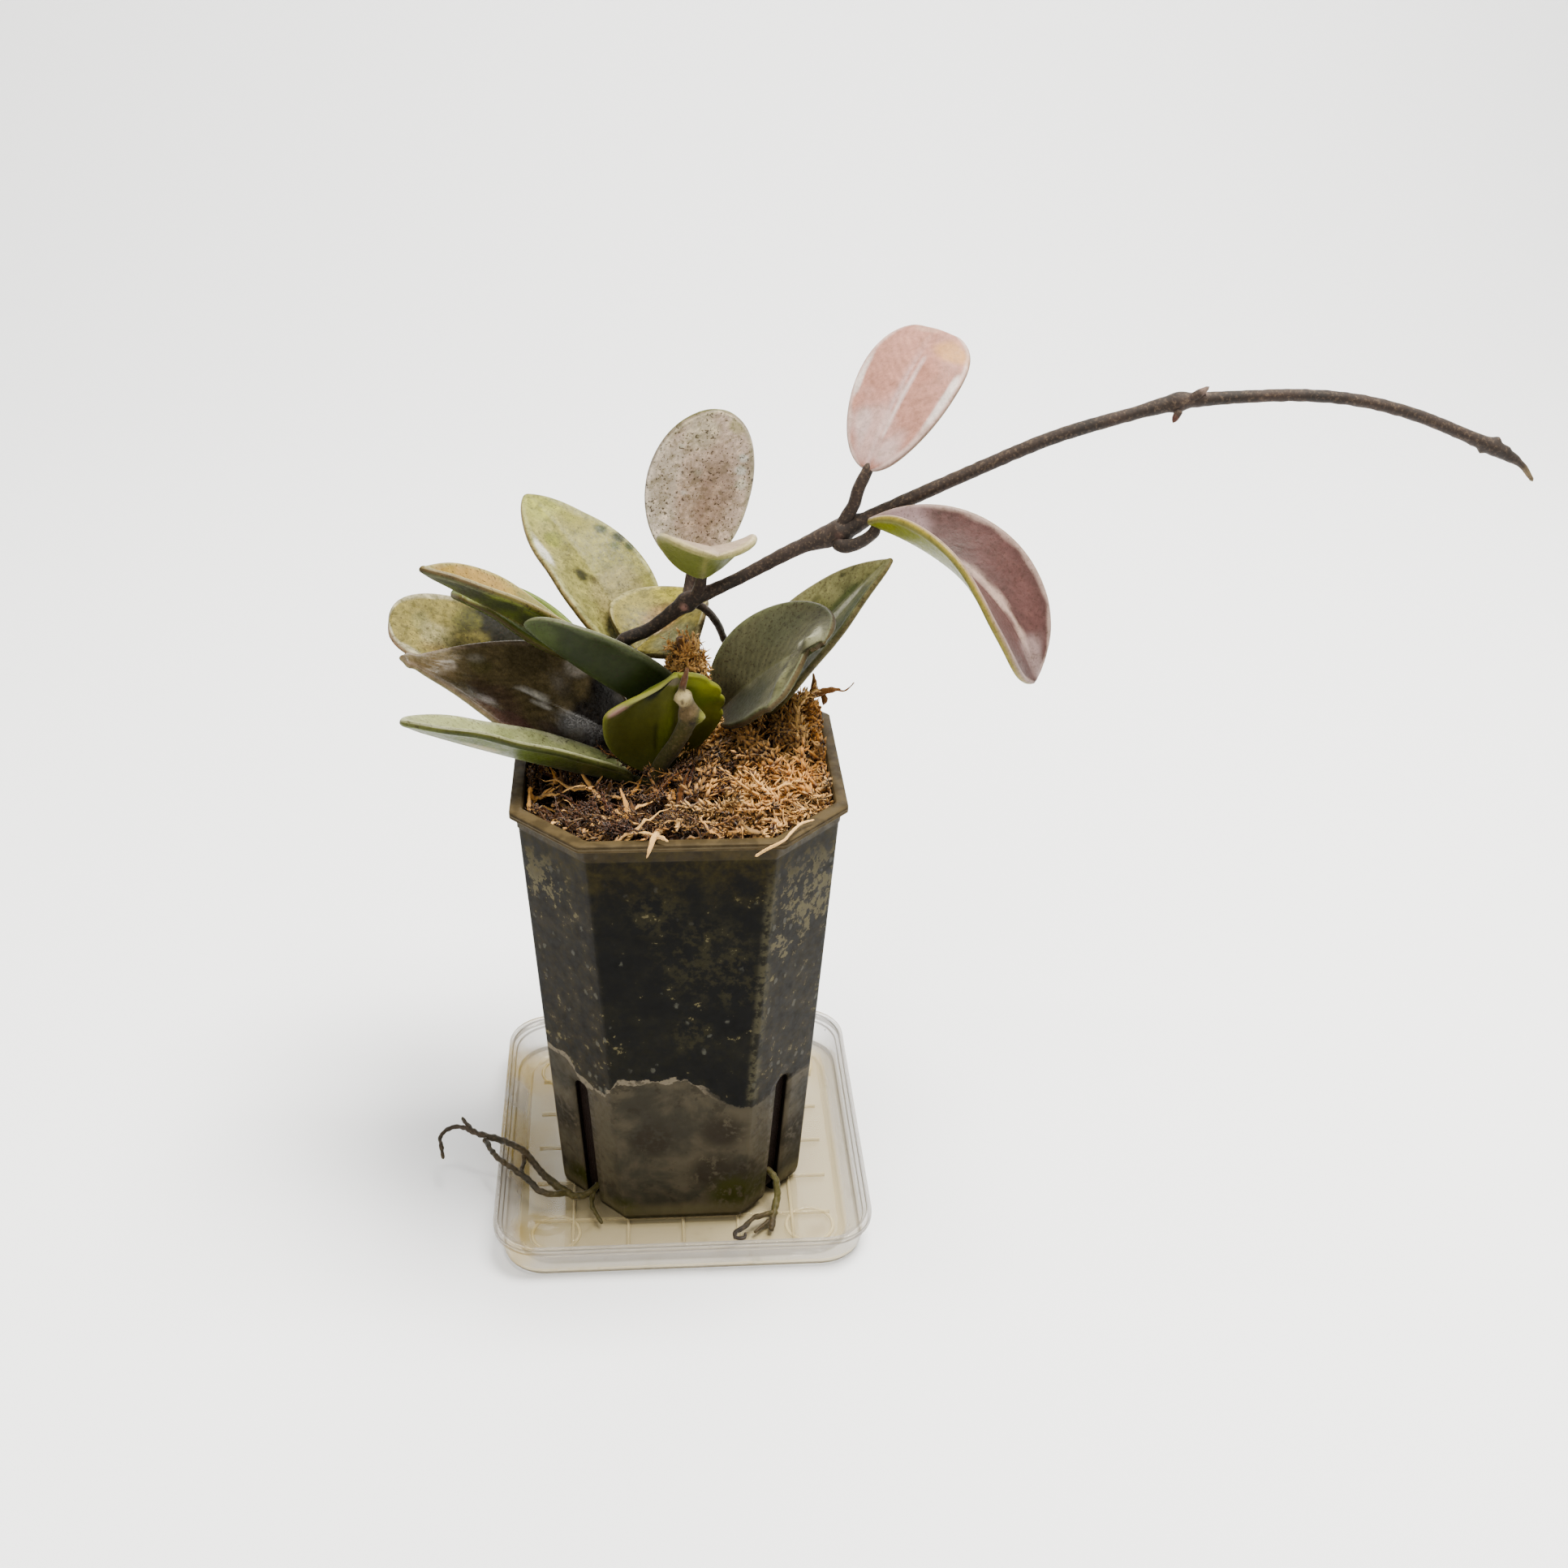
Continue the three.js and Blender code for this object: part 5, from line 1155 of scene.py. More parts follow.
def midrib_frames(leaf, u):
    """Along, across and up at fractions of the midrib: the start turned by arch, sickle and twist."""
    arch, sickle, twist = np.radians((leaf.arch, leaf.sickle, leaf.twist))
    arch, sickle, twist = arch * u**leaf.power, sickle * u, twist * u
    along = np.stack([np.cos(sickle) * np.cos(arch), np.sin(sickle) * np.cos(arch), -np.sin(arch)], -1)
    flat = np.stack([-np.sin(sickle), np.cos(sickle), np.zeros_like(u)], -1)
    lift = np.cross(along, flat)
    cos, sin = np.cos(twist)[..., None], np.sin(twist)[..., None]
    return along, cos * flat + sin * lift, cos * lift - sin * flat


def placement(leaf):
    """Rotation that takes the blade's own frame to its heading, pitch and roll."""
    heading, pitch, roll = np.radians(leaf.turn)
    turn = Matrix.Rotation(heading, 3, "Z") @ Matrix.Rotation(-pitch, 3, "Y")
    return np.array(turn @ Matrix.Rotation(roll, 3, "X"))


def half_width(leaf, u):
    """Outline: u^a (1-u)^b scaled so that its peak is half of the greatest width."""
    a, b = leaf.outline
    peak = a / (a + b)
    return 0.5 * leaf.width * u**a * (1 - u) ** b / (peak**a * (1 - peak) ** b)


def blade(leaf, look, thickness):
    """Closed blade as rings round the midrib, with u, v, side, margin and midrib distances for its colours.

    v = -cos(phi) over both faces. A point leaves the midrib's curve by its arc's chord at the fold's angle,
    the fold is rounded near the midrib, and the faces stand off by a half thickness that ends in a round
    margin.
    """
    angle = np.linspace(0.03, np.pi - 0.03, BLADE_ROWS)
    phi = circle(BLADE_SIDES)
    u, v, side = np.broadcast_arrays(((1 - np.cos(angle)) / 2)[:, None], -np.cos(phi),
                                     np.sign(np.round(np.sin(phi), 9)))
    fine = np.linspace(0, 1, 401)
    ahead = midrib_frames(leaf, fine)[0]
    walk = np.vstack([np.zeros(3), np.cumsum((ahead[1:] + ahead[:-1]) / 2 * leaf.length / 400, 0)])
    point = np.stack([np.interp(u, fine, walk[:, i]) for i in range(3)], -1)
    _, across, up = midrib_frames(leaf, u)
    width = half_width(leaf, u)
    for place, which, reach, depth in look.notches:
        there = smooth_step(0, 0.5, v * which) if which else 1
        width = width * (1 - depth * np.exp(-(((u - place) / reach) ** 2)) * there)
    distance = np.abs(v) * width
    fold = np.radians(leaf.fold[0] + (leaf.fold[1] - leaf.fold[0]) * u)
    bend = np.radians(leaf.curl) * distance / (0.5 * leaf.width)
    chord = distance * np.sinc(bend / 2 / np.pi)
    soft = np.sqrt(distance**2 + CREASE**2)
    point = point + (np.sign(v) * chord * np.cos(fold + bend / 2))[..., None] * across
    raised = (soft - CREASE) / np.maximum(distance, 1e-6) * chord * np.sin(fold + bend / 2)
    point = point + raised[..., None] * up
    lean = (fold + bend) * distance / soft
    normal = np.cos(lean)[..., None] * up - (np.sign(v) * np.sin(lean))[..., None] * across
    offset = np.zeros_like(u)
    for place, over, reach_u, reach_v, height in look.bends:
        offset = offset + height * np.exp(-(((u - place) / reach_u) ** 2) - (((v - over) / reach_v) ** 2))
    offset = offset + 0.35 * ripples(np.stack([u * leaf.length, v * width, 0 * u], -1), 16, 3) * np.abs(v)
    full = 0.5 * thickness
    nearest = np.minimum(u, 1 - u) * leaf.length
    full = full * np.sqrt(1 - np.clip(1 - nearest / full, 0, 0.97) ** 2)
    start = np.clip(1 - full / np.maximum(width, 1e-6), 0, 1)
    inward = np.clip((np.abs(v) - start) / np.maximum(1 - start, 1e-6), 0, 1)
    half = full * np.sqrt(1 - inward**2)
    thin = 1 - 0.12 * smooth_step(0.25, 0.8, np.abs(v)) * (1 - smooth_step(0.8, 0.97, np.abs(v)))
    groove = np.exp(-((distance / 0.55) ** 2)) * smooth_step(0.0, 0.1, 1 - u)
    half = half * thin + np.where(side > 0, -0.22, 0.3) * groove
    point = point + (offset + side * half)[..., None] * normal
    return point @ placement(leaf).T + leaf.base, u, v, side, width - distance, distance


def blade_colours(look, grid, u, v, side, margin, middle):
    """Colour at each point: the faces' own tones from right to left, margin, thin rim, midrib and marks."""
    wobble = ripples(grid, 7, 17)
    left = smooth_step(-0.5, 0.5, v + 0.35 * wobble)[..., None]
    upper = look.upper + (look.upper_left - look.upper) * left
    under = look.under + (look.under_left - look.under) * left
    tint = np.where(side[..., None] > 0, upper, under)
    strip = smooth_step(2.0, 0.9, margin + 0.5 * wobble) * np.where(side > 0, 0.75, 0.2)
    tint = tint + (look.margin - tint) * strip[..., None]
    line = smooth_step(1.1, 0.1, middle)[..., None] * np.where(side > 0, 0.55, 0.25)[..., None]
    tint = tint + (look.midrib - tint) * line * (1 - smooth_step(0.5, 0.95, u))[..., None]
    comb = np.sin(2 * np.pi * (u * 17 - 5.4 * np.abs(v) + 0.3 * ripples(grid, 5, 19)))
    tint = tint * (1 + look.veins * comb * (1 - 0.6 * np.abs(v)) * (side > 0))[..., None]
    for place, over, which, reach_u, reach_v, colour, strength in look.marks:
        near = ((u - place) / reach_u) ** 2 + ((v - over) / reach_v) ** 2
        amount = strength * smooth_step(1.25, 0.55, np.sqrt(near) + 0.3 * wobble) * (side * which >= 0)
        tint = tint + (pigment(colour, look.depth) - tint) * amount[..., None]
    edge = (smooth_step(0.35, 0.1, margin) * 0.6)[..., None]
    return tint + (look.rim - tint) * edge


def leaf_finish(name, look):
    """Leathery leaf: its own colours, cloudy patches, dust, dark specks, silvery scurf and a soft gloss."""
    finish = Finish(name, Roughness=look.gloss, Specular_IOR_Level=0.13, Sheen_Weight=0.03,
                    Sheen_Roughness=0.4)
    shade = finish.stored("tint", "Color")
    cloud = finish.noise(6, 4, 0.6, 0.4)
    mottle = finish.noise(2.1, 5, 0.68, 0.3)
    dust = finish.noise(0.8, 4, 0.7)
    darker, lighter = shade.filtered(0.55, 0.56, 0.48), shade.filtered(1.4, 1.38, 1.3)
    shade = shade.toward(darker, cloud.band(0.46, 0.66, 0, 0.7 * look.grain))
    shade = shade.toward(darker, mottle.band(0.5, 0.62, 0, 1.1 * look.grain))
    shade = shade.toward(lighter, mottle.band(0.47, 0.36, 0, look.grain))
    shade = shade.toward(darker, dust.band(0.5, 0.36, 0, 0.5 * look.grain))
    scurf = (finish.noise(2.6, 5, 0.7, 0.5) * 0.75 + dust * 0.25).band(0.48, 0.62)
    shade = shade.toward(shade.filtered(1.5, 1.53, 1.5),
                         scurf * finish.stored("above") * (0.7 * look.silver))
    speck = (cloud * 0.25 + finish.noise(0.62, 2, 0.5)).band(0.72, 0.78)
    shade = shade.toward("33291f", speck * (0.8 * look.specks))
    finish.set(Base_Color=shade, Roughness=dust.band(0.3, 0.7, look.gloss - 0.08, look.gloss + 0.12),
               Normal=finish.bump(dust, 0.4, 0.1, finish.bump(cloud, 0.4, 0.5)))
    return finish.material


def build_leaves(sizes):
    """One piece for each blade."""
    for name, leaf in LEAVES.items():
        look = LOOKS[name]
        grid, u, v, side, margin, middle = blade(leaf, look, sizes.leaf_thickness / MM)
        skin = Skin()
        tint = blade_colours(look, grid, u, v, side, margin, middle)
        skin.add(grid, tint=tint, above=np.maximum(side, 0))
        finish = leaf_finish("leaf " + name.replace("_", " "), look)
        skin.piece("blade_" + name, finish, "leaf_" + name, look.slot)


# Stems and roots: x, y, z and the radius at each point

MAIN_VINE = [(-4.5, 25.5, 110, 1.7), (-5, 24.5, 127, 1.7), (-7.5, 21, 137, 1.6), (-11, 15.5, 146, 1.6),
             (-12.8, 12, 151.6, 1.8), (-6.4, 12, 154.8, 1.6), (0.2, 12.3, 159.8, 1.9),
             (2.7, 12.5, 161.6, 2.6), (6.2, 12.4, 163.4, 1.8), (14.3, 12, 167.5, 1.55),
             (29.7, 10.5, 176.6, 1.8), (36.4, 9.8, 179.6, 2.7), (39.2, 9.5, 180.9, 3.1),
             (42.6, 9.3, 182.7, 2.3), (46.5, 8.9, 184.9, 1.75), (69.7, 7, 196.8, 1.6),
             (87.7, 5.5, 205.4, 1.6), (105.8, 4, 211.6, 1.55), (112, 3.5, 213.6, 1.9),
             (115.3, 3.2, 214.5, 2.3), (118.6, 3, 214.9, 1.7), (130.4, 2, 216, 1.45),
             (142.8, 1, 216.6, 1.45), (155.4, 0, 215.8, 1.45), (168.6, -1, 212.9, 1.45),
             (182.3, -2, 208, 1.5), (189.3, -2.5, 205.2, 1.9), (193, -2.8, 203.4, 1.4),
             (196.6, -3, 201.2, 0.8), (200.1, -3.2, 197.3, 0.5)]
THIN_SHOOT = [(3.4, 13, 161, 1), (6, 15.5, 159.4, 1), (9.8, 21, 153.4, 1), (12.9, 28.5, 143.6, 0.95),
              (15, 32.3, 136, 0.95), (15.5, 32.5, 126, 0.95), (15.5, 32.5, 116, 0.95)]
VINE_BUMPS = ((1.2, 10.6, 161.2, 0.5, 1.1), (38.2, 7.6, 181.6, 0.4, 1.4), (40.8, 11, 182.4, 0.4, 1.6),
              (189.6, -2.6, 207.3, 0.9, 0.9), (186.2, -2.4, 204.6, 0.7, 0.8), (192.2, -3, 204.8, 0.7, 0.7),
              (184, -2.2, 206.4, 0.4, 0.7), (114.6, 2.2, 213, 0.4, 1.2))
SCALE_LEAVES = [[(116.2, 2.6, 214.6, 1.0), (119, 2.2, 216.4, 1.1), (121.2, 1.8, 218.4, 0.4)],
                [(115.2, 1.6, 213.2, 0.9), (114.2, 1.0, 211.6, 0.8), (113.6, 0.8, 210.2, 0.35)]]
FRONT_STUB = [(-6.4, 0, 112, 1.8), (-5.9, -1.4, 118.7, 1.9), (-4.2, -4.2, 125.7, 2.0),
              (-0.6, -7.2, 133.1, 2.0), (1.7, -9.1, 138.9, 2.1), (2.6, -10.3, 143, 2.6),
              (2, -11.2, 146.2, 1.9), (1.2, -12.1, 148.6, 2.1), (0.9, -12.6, 150.4, 0.9),
              (1.5, -13, 153.4, 0.8), (2.3, -13.2, 156.6, 0.35)]
STUB_BUMPS = ((0.2, -13.8, 148.9, 0.6, 0.8), (3.6, -12.8, 143.6, 0.5, 0.9), (2.4, -13.6, 149, 0.7, 0.8),
              (1.2, -14.2, 147.4, 0.5, 0.7), (5.4, -10.6, 142.2, 1.5, 1.5), (-1, -12.6, 147.8, 0.5, 0.8))
MIDDLE_STEM = [(-4.5, 6.5, 112, 1.8), (-4, 6.2, 122, 1.8), (-2.2, 5.4, 130, 1.7), (1.2, 4.6, 133.6, 1.4)]
RIGHT_STEM = [(12.5, 21.5, 112, 1.8), (13, 21, 117, 1.8), (13.6, 20.6, 122, 1.7)]
LEFT_ROOTS = [[(-17.5, -17.5, 10, 1), (-21, -21, 9, 1), (-24.4, -24.4, 7.4, 1.1), (-28, -25.3, 6.8, 1.2),
               (-32.4, -23.4, 8, 1.3), (-37.4, -19.4, 10, 1.2), (-42.5, -14, 13.2, 1.1),
               (-47.8, -11.6, 14.8, 1.1), (-53.2, -10, 15.6, 1.1), (-56.4, -8.8, 16.4, 0.9),
               (-59.2, -5.4, 18.4, 0.6)],
              [(-30.5, -24.4, 7.4, 1), (-34, -25.8, 8.2, 1.1), (-37.6, -25.4, 9, 1.1),
               (-40.6, -22.8, 10.4, 1), (-46.2, -19.6, 13.2, 1), (-49.6, -17.2, 14.6, 0.9),
               (-53, -11, 15.5, 0.9)],
              [(-56, -9.2, 16.2, 0.8), (-58.8, -7.6, 16.4, 0.8), (-61.2, -6.8, 16.2, 0.8),
               (-64.8, -8.8, 15, 0.7), (-64.4, -12, 13.4, 0.7), (-63.8, -14.9, 12, 0.5)],
              [(-42.3, -14.2, 13.1, 0.7), (-42.3, -17, 12.2, 0.7), (-42.8, -21.3, 11.4, 0.7)],
              [(-23.4, -23.6, 7.8, 0.8), (-24.2, -27, 5.6, 0.8), (-22.6, -30.6, 4.2, 0.7),
               (-21.4, -32.8, 3.7, 0.5)]]
ROOT_SHARE = 0.8
RIGHT_ROOTS = [[(17.5, -17.5, 13.5, 1), (21, -21, 12.6, 1), (24.6, -24.6, 10.2, 1.1),
                (25.2, -27.2, 6.8, 1.2), (24.2, -31, 4.4, 1.2), (23.4, -34.6, 3.8, 1.1),
                (22.9, -37.6, 3.6, 1)],
               [(23.9, -31.6, 4.4, 1), (21, -33.6, 5.4, 0.9), (18.5, -35, 6, 0.9), (15.7, -39, 6.6, 0.8),
                (13.4, -41, 6.9, 0.8), (13.2, -43.2, 7.2, 0.7), (15.6, -43.9, 7.6, 0.6),
                (15.8, -42.4, 8.2, 0.5)],
               [(23, -33.4, 3.8, 0.7), (20.6, -35.8, 3.5, 0.7), (18.4, -37.8, 3.4, 0.5)]]


def petiole(leaf_name, between, radius=1.05):
    """Route from a stem, through any points between, to a little way inside a blade's base."""
    leaf = LEAVES[leaf_name]
    ahead = placement(leaf)[:, 0]
    route = [(*point, radius) for point in between]
    return [*route, (*(leaf.base + 0.4 * ahead), radius * 0.9), (*(leaf.base + 2.2 * ahead), radius * 0.55)]


# Marks on the bark: x, y, z, reach, colour and strength
VINE_MARKS = ((200.1, -3.2, 197.3, 5.5, "8a7a62", 0.8), (2.0, 10.3, 161.4, 1.2, "a8847a", 0.9),
              (120.4, 2.0, 217.4, 1.4, "b09a90", 0.6), (38.6, 7.2, 181, 1.4, "6e5048", 0.5),
              (114, 1.2, 211, 1.6, "7a4a40", 0.5))
STUB_MARKS = ((2.0, -11.6, 144.6, 3.4, "8a7258", 0.5), (1.2, -13.0, 148.6, 2.7, "dccca4", 0.9),
              (0.9, -14.4, 148.2, 0.8, "3a2c1c", 0.9), (1.9, -13, 154.2, 3.9, "5c3a22", 0.95),
              (5.4, -10.8, 142.2, 2.0, "a8ac64", 0.85), (3.4, -12.6, 141.4, 1.0, "1a1410", 0.95),
              (-6, -1, 117, 7, "3c4020", 0.6))
# Each stem: its piece, slot, two tones, marks, bumps and routes
STEMS = {
    "main_vine": ("vine", "woody_stem", ("211812", "3d2f27"), VINE_MARKS, VINE_BUMPS, [
        MAIN_VINE, THIN_SHOOT, *SCALE_LEAVES,
        petiole("left_grey", [(-5.6, 23.6, 130.5), (-7.8, 26.6, 135.5), (-9.2, 28.2, 139.4)]),
        petiole("behind_vine", [(-10.8, 16.2, 144.6), (-10.7, 18, 144.5)]),
        petiole("left_brown", [(-12, 14, 148.2), (-14.5, 13.6, 146.6), (-18, 13.4, 145.6)]),
        petiole("left_narrow", [(-10.4, 16.6, 144.6), (-14, 16.2, 143.4), (-18, 16.1, 142.9)]),
        petiole("left_silver", [(-5, 24.6, 126.5), (-10, 26, 128.4), (-16.5, 27.3, 131)]),
        petiole("first_node_back", [(3, 13.4, 162), (3.4, 15.6, 163.8), (4, 17, 166.2)], 1.45),
        petiole("first_node_front", [(4.2, 12.3, 162), (5.4, 12, 164.4), (6, 11.2, 166.8)], 1.5),
        petiole("second_node_back",
                [(38.6, 9.2, 181.6), (40.2, 9, 184.4), (42, 8.6, 187.8), (42.9, 8, 192)], 1.5),
        [(38, 8.6, 179.2, 2.0), (39.6, 6.6, 178.4, 1.75), (42, 5.2, 179.2, 1.55), (44.8, 4.4, 181, 1.45),
         (46.6, 4.1, 182.9, 1.4), (47.2, 4.4, 184.8, 1.1)]]),
    "front_stub": ("stub", "green_stem", ("363a1c", "504a28"), STUB_MARKS, STUB_BUMPS, [
        FRONT_STUB, petiole("front_left", [(-6, -1.2, 118.8), (-8.2, -1.4, 119.6)])]),
    "middle_stem": ("middle_shoot", "green_stem", ("4a4426", "3c3220"), (), (), [
        MIDDLE_STEM, petiole("front", [(-4.2, 6.3, 119), (-4.4, 4, 118.6), (-4.5, 2, 119)]),
        petiole("left_dark", [(-4, 6.2, 123.6), (-6.2, 6.8, 123.8), (-8.6, 7.7, 124.5)]),
        petiole("over_dark", [(0.2, 4.8, 132.6), (1.8, 3.6, 134.6)])]),
    "right_stem": ("right_shoot", "green_stem", ("4a4426", "3c3220"), (), (), [
        RIGHT_STEM, petiole("right_broad", [(13.3, 20.8, 120), (11.6, 19.4, 122.2), (10.2, 17.6, 125)]),
        petiole("right_pointed", [(13.2, 20.9, 118), (15.6, 21.9, 119.6), (17.6, 22.5, 121.8)])]),
}
ROOTS = {"left_root": (LEFT_ROOTS, ((-24, -24, 7, 14, "5a5420", 0.7), (-60, -9, 15, 9, "32261a", 0.8))),
         "right_root": (RIGHT_ROOTS, ((24, -27, 8, 8, "5c5824", 0.8), (15, -43, 7, 6, "2e2620", 0.9)))}


def bark_tint(grid, base, far, marks):
    """Colour along a bar: base to far by slow ripples, with soft round marks."""
    mixed = (0.5 + 0.5 * ripples(grid, 9, 21))[..., None]
    tint = pigment(base) + (pigment(far) - pigment(base)) * mixed
    for x, y, z, reach, colour, strength in marks:
        near = np.linalg.norm(grid - (x, y, z), axis=-1) / reach
        tint = tint + (pigment(colour) - tint) * (strength * smooth_step(1.1, 0.5, near))[..., None]
    return tint


def bark_finish(name, rough, down):
    """Bark or root skin: its own colours, paler and darker by a rough grain, with a little pale down."""
    finish = Finish(name, Roughness=rough, Sheen_Weight=down, Sheen_Roughness=0.4, Specular_IOR_Level=0.3)
    shade = finish.stored("tint", "Color")
    grain = finish.noise(0.8, 4, 0.65)
    shade = shade.toward(shade.toward("a08c78", 0.45), grain.band(0.5, 0.68, 0, 0.55))
    shade = shade.toward("120c08", grain.band(0.46, 0.3, 0, 0.7))
    finish.set(Base_Color=shade, Normal=finish.bump(grain, 0.6, 0.12))
    return finish.material


def build_stems(sizes):
    """Vine and the three short stems, each with its leaf stalks."""
    for node, (name, slot, tones, marks, bumps, routes) in STEMS.items():
        skin = Skin()
        for i, route in enumerate(routes):
            sides = 20 if max(point[3] for point in route) > 1.5 else 14
            grid = bar(route, 0.6, sides, sizes.bark / MM, 2.6, 40 + i, bumps)
            skin.add(grid, tint=bark_tint(grid, *tones, marks))
        skin.piece(name, bark_finish(name + " bark", 0.75, 0.1), node, slot)


def build_roots():
    """Two bare roots that leave the pot's front slots."""
    for node, (routes, marks) in ROOTS.items():
        skin = Skin()
        for i, route in enumerate(routes):
            grid = bar(np.array(route) * (1, 1, 1, ROOT_SHARE), 0.4, 12, 0.24, 1.5, 60 + i)
            skin.add(grid, tint=bark_tint(grid, "2f2912", "4a3c20", marks))
        finish = bark_finish(node.replace("_", " ") + " skin", 0.6, 0.15)
        skin.piece(node.replace("root", "aerial_root"), finish, node, "root")


# Stage, lights and camera, from the pinhole fit of the view

CAMERA_SPOT, CAMERA_ANGLES = (-7.6, -387.1, 338.6), (29.64, 5.04, 1.50)
CAMERA_FOCAL, CAMERA_FRAME, CAMERA_SENSOR = 2203.48, 1932, 36.0
SWEEP_RADIUS, SWEEP_HEIGHT = 500, 1500
LIGHT_AIM = (0.03, 0.0, 0.13)


def facing(axes, spot):
    """Matrix that places a thing at spot, in metres, with its own axes along the three given ones."""
    turn = Matrix(np.column_stack(axes).tolist()).to_4x4()
    turn.translation = spot
    return turn


def build_camera():
    """Camera whose axes are turned by pitch, yaw and roll, with a lens of focal / frame * sensor."""
    pitch, yaw, roll = np.radians(CAMERA_ANGLES)
    forward = np.array([math.sin(yaw) * math.cos(pitch), math.cos(yaw) * math.cos(pitch), -math.sin(pitch)])
    right = np.array([math.cos(yaw), -math.sin(yaw), 0])
    up = np.cross(right, forward)
    rolled = math.cos(roll) * right + math.sin(roll) * up
    upright = -math.sin(roll) * right + math.cos(roll) * up
    lens = bpy.data.cameras.new("camera")
    lens.sensor_width = CAMERA_SENSOR
    lens.lens = CAMERA_FOCAL / CAMERA_FRAME * CAMERA_SENSOR
    lens.clip_start = 0.01
    camera = new_object("camera", lens)
    camera.matrix_world = facing((rolled, upright, -forward), np.array(CAMERA_SPOT) * MM)
    bpy.context.scene.camera = camera


def build_sweep(sizes):
    """Floor that curves up into a backdrop: a quarter circle between two flats, carried sideways."""
    wide, back, radius = sizes.floor / MM, sizes.backdrop / MM, SWEEP_RADIUS
    arc = np.linspace(0, np.pi / 2, 24)
    bend = np.stack([back - radius + radius * np.sin(arc), radius - radius * np.cos(arc)], -1)
    profile = np.vstack([[(-wide, 0)], bend, [(back, SWEEP_HEIGHT)]])
    points = np.vstack([np.column_stack([np.full(len(profile), x), profile]) for x in (wide, -wide)]) * MM
    count = len(profile)
    faces = [(i + 1, i, count + i, count + i + 1) for i in range(count - 1)]
    mesh = bpy.data.meshes.new("sweep")
    mesh.from_pydata(points.tolist(), [], faces)
    mesh.shade_smooth()
    finish = Finish("pale paper", Base_Color=(*sizes.paper, 1), Roughness=0.8, Specular_IOR_Level=0.2)
    mesh.materials.append(finish.material)
    new_object("sweep", mesh)


def soft_light(name, spot, size, power, colour):
    """Square area light at spot, turned towards the part."""
    lamp = bpy.data.lights.new(name, "AREA")
    lamp.size, lamp.energy, lamp.color = size, power, colour
    towards = unit(np.array(LIGHT_AIM) - np.array(spot))
    side = unit(np.cross(towards, (0, 0, 1)))
    new_object(name, lamp).matrix_world = facing((side, np.cross(side, towards), -towards), spot)


def build_lights(sizes):
    """Large key above and in front, a fill from the left, a soft one from behind, and a pale surround."""
    soft_light("key", (0.3, 0.0, 1.25), 0.6, 62 * sizes.light, (1, 0.96, 0.88))
    soft_light("fill", (-0.7, -0.9, 1.0), 0.9, 13 * sizes.light, (1, 0.96, 0.88))
    soft_light("rear", (0.2, 1.0, 0.7), 0.7, 6 * sizes.light, (1, 0.97, 0.92))
    world = bpy.data.worlds.new("surround")
    world.use_nodes = True
    background = world.node_tree.nodes["Background"]
    background.inputs["Color"].default_value = (1, 0.97, 0.9, 1)
    background.inputs["Strength"].default_value = 0.5 * sizes.light
    bpy.context.scene.world = world


# Settings that a user would change

class SaucerSettings(PropertyGroup):
    """Sizes and colours of the clear saucer."""

    wall: FloatProperty(name="Rim thickness", description="Thickness of the saucer's wall at its rim",
                        default=0.0012, min=0.0005, max=0.003, unit="LENGTH")
    rib: FloatProperty(name="Rib height", description="Height of the ribs on the floor", default=0.0007,
                       min=0.0002, max=0.002, unit="LENGTH")
    tint: FloatVectorProperty(name="Tint", description="Colour of the clear plastic",
                              default=(0.42, 0.39, 0.35), size=3, min=0, max=1, subtype="COLOR")
    cover: FloatProperty(name="Cover", description="How much the plastic hides what is behind it, face on",
                         default=0.12, min=0.05, max=1, subtype="FACTOR")


class PotSettings(PropertyGroup):
    """Sizes and colours of the pot."""

    wall: FloatProperty(name="Wall", description="Thickness of the pot's wall", default=0.0013, min=0.0005,
                        max=0.003, unit="LENGTH")
    water_line: FloatProperty(name="Mineral line", description="Height of the pale line that water left",
                              default=0.0465, min=0.01, max=0.1, unit="LENGTH")
    mineral: FloatVectorProperty(name="Mineral", description="Colour of the dried mineral line",
                                 default=tuple(pigment("827a6c")), size=3, min=0, max=1, subtype="COLOR")


class MossSettings(PropertyGroup):
    """Shreds of the moss."""

    shreds: IntProperty(name="Shreds", description="Number of shreds over the bed, in four layers",
                        default=760, min=100, max=900)
    shred_length: FloatProperty(name="Shred length", description="Usual length of a shred", default=0.0125,
                                min=0.003, max=0.02, unit="LENGTH")
    shred_width: FloatProperty(name="Shred width", description="Usual width of a shred", default=0.0031,
                               min=0.0005, max=0.004, unit="LENGTH")


class PlantSettings(PropertyGroup):
    """Leaves and stems."""

    leaf_thickness: FloatProperty(name="Leaf thickness", description="Thickness of a blade at its midrib",
                                  default=0.0019, min=0.001, max=0.003, unit="LENGTH")
    bark: FloatProperty(name="Bark relief", description="Height of the relief on the stems",
                        default=0.00007, min=0, max=0.0005, unit="LENGTH")


class StageSettings(PropertyGroup):
    """Floor, backdrop and light."""

    floor: FloatProperty(name="Floor", description="Half width of the floor", default=2.0, min=0.5, max=5,
                         unit="LENGTH")
    backdrop: FloatProperty(name="Backdrop", description="Distance of the backdrop behind the part",
                            default=1.1, min=0.6, max=4, unit="LENGTH")
    paper: FloatVectorProperty(name="Paper", description="Colour of the floor and backdrop",
                               default=(0.88, 0.90, 0.94), size=3, min=0, max=1, subtype="COLOR")
    light: FloatProperty(name="Light", description="Strength of the studio lights", default=1.0, min=0.1,
                         max=4)


# Operators, one for each piece or group of like pieces

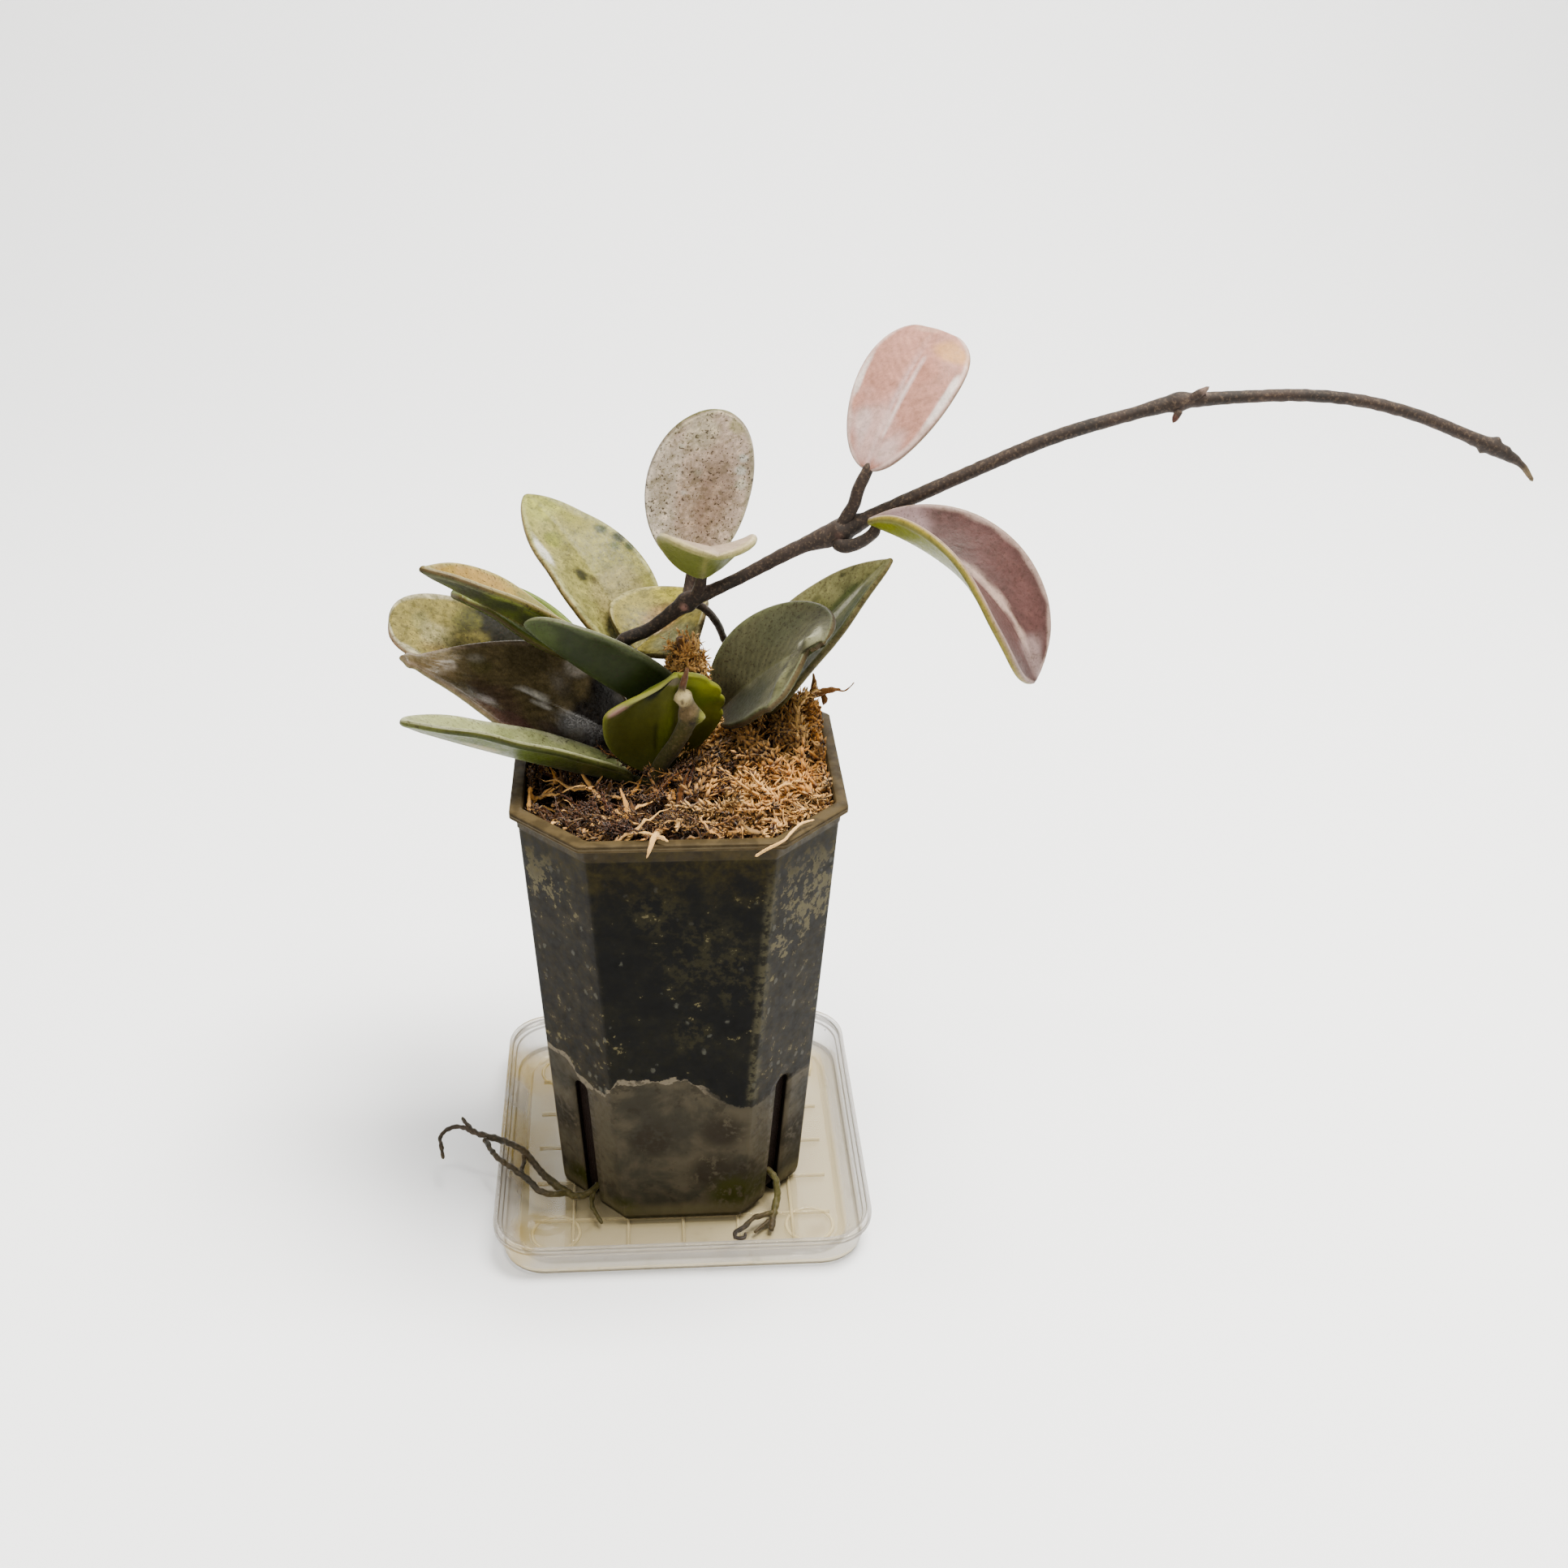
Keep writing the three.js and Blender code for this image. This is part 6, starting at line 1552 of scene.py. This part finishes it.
class PlantStage(Operator):
    """Adds the floor and backdrop, the lights and the camera"""

    bl_idname = "wax_plant.stage"
    bl_label = "Stage"

    def execute(self, context):
        settings = context.scene.wax_plant_stage
        build_camera()
        build_sweep(settings)
        build_lights(settings)
        return {"FINISHED"}


class PlantSaucer(Operator):
    """Adds the clear saucer"""

    bl_idname = "wax_plant.saucer"
    bl_label = "Saucer"

    def execute(self, context):
        build_saucer(context.scene.wax_plant_saucer)
        return {"FINISHED"}


class PlantPot(Operator):
    """Adds the pot with its rim and slots"""

    bl_idname = "wax_plant.pot"
    bl_label = "Pot"

    def execute(self, context):
        build_pot(context.scene.wax_plant_pot)
        return {"FINISHED"}


class PlantMoss(Operator):
    """Adds the moss: body, shreds, clump and fibres"""

    bl_idname = "wax_plant.moss"
    bl_label = "Moss"

    def execute(self, context):
        build_moss(context.scene.wax_plant_moss)
        return {"FINISHED"}


class PlantStems(Operator):
    """Adds the vine and the short stems with their leaf stalks"""

    bl_idname = "wax_plant.stems"
    bl_label = "Stems"

    def execute(self, context):
        build_stems(context.scene.wax_plant_plant)
        return {"FINISHED"}


class PlantRoots(Operator):
    """Adds the two bare roots"""

    bl_idname = "wax_plant.roots"
    bl_label = "Roots"

    def execute(self, context):
        build_roots()
        return {"FINISHED"}


class PlantLeaves(Operator):
    """Adds the fifteen leaf blades"""

    bl_idname = "wax_plant.leaves"
    bl_label = "Leaves"

    def execute(self, context):
        build_leaves(context.scene.wax_plant_plant)
        return {"FINISHED"}


class PlantPanel(Panel):
    """Lists the pieces and their settings"""

    bl_idname = "VIEW3D_PT_wax_plant"
    bl_label = "Potted wax plant"
    bl_space_type = "VIEW_3D"
    bl_region_type = "UI"
    bl_category = "Plant"

    def draw(self, context):
        for settings in SETTINGS:
            group = getattr(context.scene, settings)
            box = self.layout.box()
            for key in group.__annotations__:
                box.prop(group, key)
        for operator in OPERATORS:
            self.layout.operator(operator.bl_idname)


SETTINGS = {"wax_plant_saucer": SaucerSettings, "wax_plant_pot": PotSettings,
            "wax_plant_moss": MossSettings, "wax_plant_plant": PlantSettings,
            "wax_plant_stage": StageSettings}
OPERATORS = (PlantStage, PlantSaucer, PlantPot, PlantMoss, PlantStems, PlantRoots, PlantLeaves)


def register():
    for group in (*SETTINGS.values(), *OPERATORS, PlantPanel):
        bpy.utils.register_class(group)
    for name, group in SETTINGS.items():
        setattr(bpy.types.Scene, name, PointerProperty(type=group))


def unregister():
    for name in SETTINGS:
        delattr(bpy.types.Scene, name)
    for group in (PlantPanel, *reversed(OPERATORS), *reversed(list(SETTINGS.values()))):
        bpy.utils.unregister_class(group)


def main():
    """Registers the classes, makes every piece in order and writes both boxes."""
    register()
    bpy.ops.wax_plant.stage()
    bpy.ops.wax_plant.saucer()
    bpy.ops.wax_plant.pot()
    bpy.ops.wax_plant.moss()
    bpy.ops.wax_plant.stems()
    bpy.ops.wax_plant.roots()
    bpy.ops.wax_plant.leaves()


if __name__ == "__main__":
    main()
